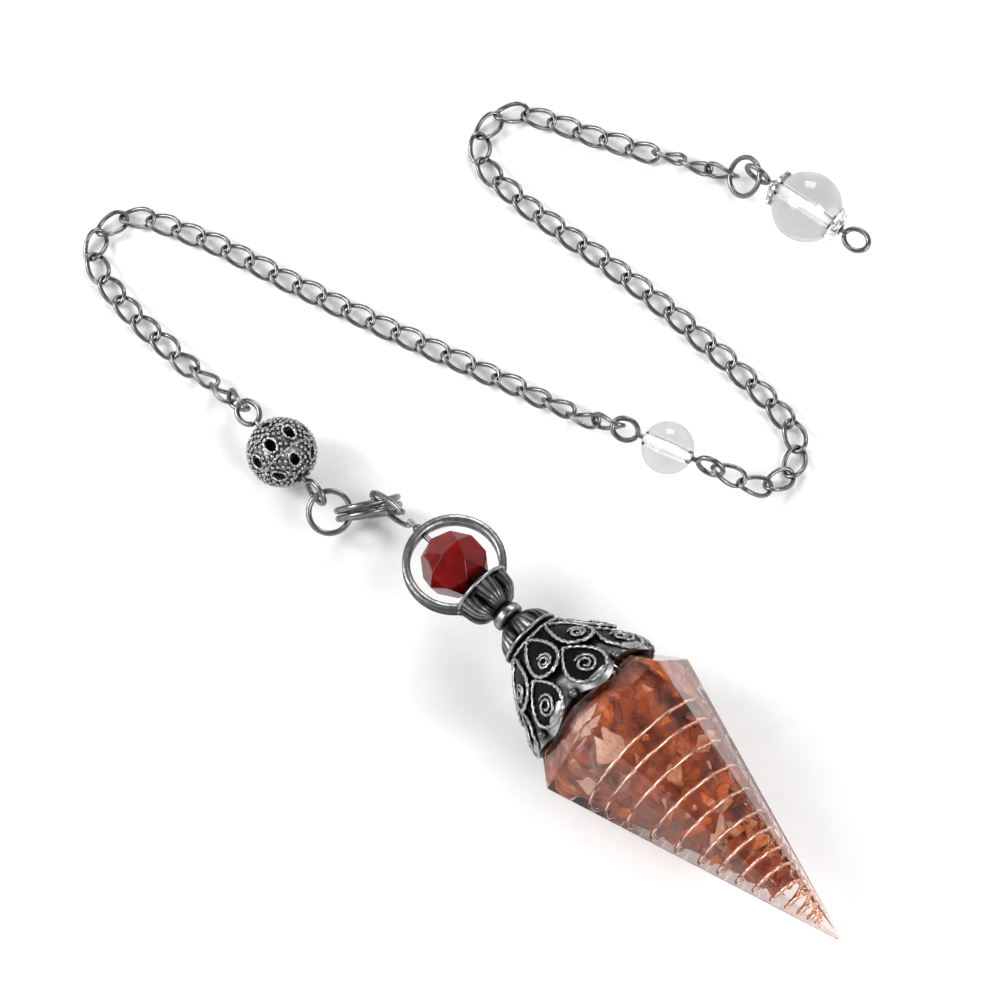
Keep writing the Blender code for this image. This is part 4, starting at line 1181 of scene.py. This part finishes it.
def make_chain(name, node, first, first_roll, route, last, last_roll, finish):
    """Chain between two wires that its end links hang on."""
    middle = [(x, y, z + lying_height(roll), roll) for x, y, z, roll in route]
    ends = []
    for (through, hook), roll, aim in ((first, first_roll, middle[0]), (last, last_roll, middle[-1])):
        place = through + (Vector(aim[:3]) - through).normalized() * hook
        ends.append((*place, roll))
    stations = [ends[0]] + middle + [ends[1]]
    shapes = [link_shape(*link, LINK_OFFSET * LINK_WIRE * (-1) ** number)
              for number, link in enumerate(chain_links(stations))]
    make(name, together(shapes), finish, [node])


def make_line(steel, silver, filigree, shade, clear, frost):
    """Ball, beads and both chains."""
    to_chain = heading(BALL_HEADING)
    to_lower = heading(SMALL_BEAD_HEADING)
    to_upper = heading(END_BEAD_HEADING)
    ball_frame = bead_frame(BALL_PLACE, BALL, to_chain)
    small_frame = bead_frame(SMALL_BEAD_PLACE, SMALL_BEAD, to_lower)
    end_frame = bead_frame(END_BEAD_PLACE, END_BEAD, to_upper)
    end_reach = END_BEAD / 2 + GAP + BEAD_CAP_WALL
    make_filigree(ball_frame, filigree, shade)
    make_glass_bead("glass_small", "small_bead", small_frame, SMALL_BEAD, clear)
    make_glass_bead("glass_end", "end_bead", end_frame, END_BEAD, clear)
    make_bores([(small_frame, SMALL_BEAD), (end_frame, END_BEAD)], frost)
    make_bead_caps(end_frame, silver)
    make_eyes("ball_eyes", "ball_pin", ball_frame, BALL / 2, BALL_EYE_TURNS, steel)
    make_eyes("small_eyes", "small_bead_pin", small_frame, SMALL_BEAD / 2, SMALL_EYE_TURNS, steel)
    make_eyes("end_eyes", "end_bead_pin", end_frame, end_reach, END_EYE_TURNS, steel)
    normal = END_RING_NORMAL.normalized()
    aside = Vector((*UPPER_ROUTE[-1][:2], 0.0)) - END_RING_PLACE
    aside -= aside.dot(normal) * normal
    ring_wire = END_RING_PLACE + aside.normalized() * (END_RING - END_RING_WIRE) / 2
    make_chain("chain_ball_side", "chain_lower", eye_wire(ball_frame, BALL, to_chain), BALL_LINK_TURN,
               LOWER_ROUTE, eye_wire(small_frame, SMALL_BEAD, to_lower), LOWER_EYE_LINK_TURN, steel)
    make_chain("chain_end_side", "chain_upper", eye_wire(small_frame, SMALL_BEAD, -to_lower),
               UPPER_EYE_LINK_TURN, UPPER_ROUTE, (ring_wire, RING_HOOK), RING_LINK_TURN, steel)


# Table, light and camera

def make_table(finish):
    """Large pale floor."""
    mesh = bpy.data.meshes.new("table")
    reach = 1.5
    mesh.from_pydata([(-reach, -reach, 0), (reach, -reach, 0), (reach, reach, 0), (-reach, reach, 0)], [],
                     [(0, 1, 2, 3)])
    mesh.materials.append(finish)
    add_object("table", mesh)


def make_light(name, place, size, power):
    """Square soft light that faces the object. Place and size are millimetres, power watts."""
    lamp = bpy.data.lights.new(name, "AREA")
    lamp.energy = power
    lamp.size = size * MM
    holder = add_object(name, lamp)
    holder.location = Vector(place) * MM
    holder.rotation_euler = (-Vector(place)).to_track_quat("-Z", "Y").to_euler()


def make_camera():
    """Camera at the photograph's angle."""
    rise = radians(CAMERA_RISE)
    back = Vector((0, -cos(rise), sin(rise))) * CAMERA_DISTANCE
    view = bpy.data.cameras.new("view")
    view.lens = CAMERA_LENS
    view.clip_start = 0.01
    holder = add_object("view", view)
    holder.location = (back + ROW_SHIFT) * MM
    holder.rotation_euler = (-back).to_track_quat("-Z", "Y").to_euler()
    bpy.context.scene.camera = holder


def make_surroundings():
    """White studio: a dim ceiling over bright walls, a low key light from the left and soft fill around."""
    world = bpy.data.worlds.new("studio")
    world.use_nodes = True
    tree = world.node_tree
    way = add_node(tree, "ShaderNodeTexCoord").outputs["Generated"]
    height = add_node(tree, "ShaderNodeSeparateXYZ", {"Vector": way}).outputs["Z"]
    shade = ramp(tree, height, [(0.0, grey(0.8)), (0.3, grey(0.6)), (0.7, (0.26, 0.26, 0.265)),
                                (1.0, (0.2, 0.2, 0.205))])
    tree.links.new(shade, tree.nodes["Background"].inputs["Color"])
    bpy.context.scene.world = world
    bpy.context.scene.view_settings.view_transform = "Standard"
    make_light("key", (-430, 60, 300), 150, 1.1)
    make_light("soft_left", (-650, -150, 620), 520, 3.4)
    make_light("soft_right", (520, -420, 560), 420, 4.2)
    make_light("soft_back", (150, 700, 600), 420, 3.8)


def main():
    # Black of the hollows: dark patina, with painted shade from old_metal's occlusion term on top
    hollow_patina_and_painted_shade = (0.008, 0.008, 0.009)
    antique = old_metal("antique_silver_wear_and_painted_shade", hollow_patina_and_painted_shade, grey(0.44), 0.3, 0.6, 1.2, by_tone=True)
    casting = old_metal("casting_silver_wear_and_painted_shade", hollow_patina_and_painted_shade, grey(0.36), 0.27, 0.7, 1.2, by_tone=True)
    steel = old_metal("gunmetal_wear_and_painted_shade", (0.02, 0.02, 0.022), grey(0.22), 0.26, 0.4, 1.0)
    filigree = old_metal("dark_silver_wear_and_painted_shade", (0.01, 0.01, 0.012), (0.42, 0.42, 0.41), 0.22, 0.45, 1.5)
    silver = old_metal("bright_silver_wear_and_painted_shade", (0.10, 0.10, 0.11), (0.88, 0.88, 0.89), 0.12, 0.5, 0.8)
    # Black for the ball inside the filigree: painted shade
    shade = old_metal("inside_painted_shade", (0.004, 0.004, 0.005), grey(0.02), 0.6, 0.5, 1.0)
    # The last colour of each glass is the painted shade at its rim
    resin = glass("resin_clear", (0.86, 0.765, 0.745), (0.91, 0.835, 0.82), 0.12, (0.80, 0.70, 0.69))
    clear = glass("glass_clear", (0.68, 0.69, 0.68), (0.76, 0.77, 0.76), 0.3, (0.5, 0.51, 0.51))
    frost = matt("bore_frosted", 0.45, 2.0, (0.80, 0.95), 0.02, 0.4)
    stone = agate()
    make_table(matt("table_top", 0.9, 0.4, (0.90, 0.93), 0.01, 0.3))
    make_resin(resin)
    make_coil(copper_wire())
    make_chips(stone)
    make_chip_bed(stone)
    make_cap(antique)
    make_casting(casting)
    make_red_bead(red_stone())
    make_bead_pin(steel)
    make_rings(steel)
    make_line(steel, silver, filigree, shade, clear, frost)
    make_surroundings()
    make_camera()


main()
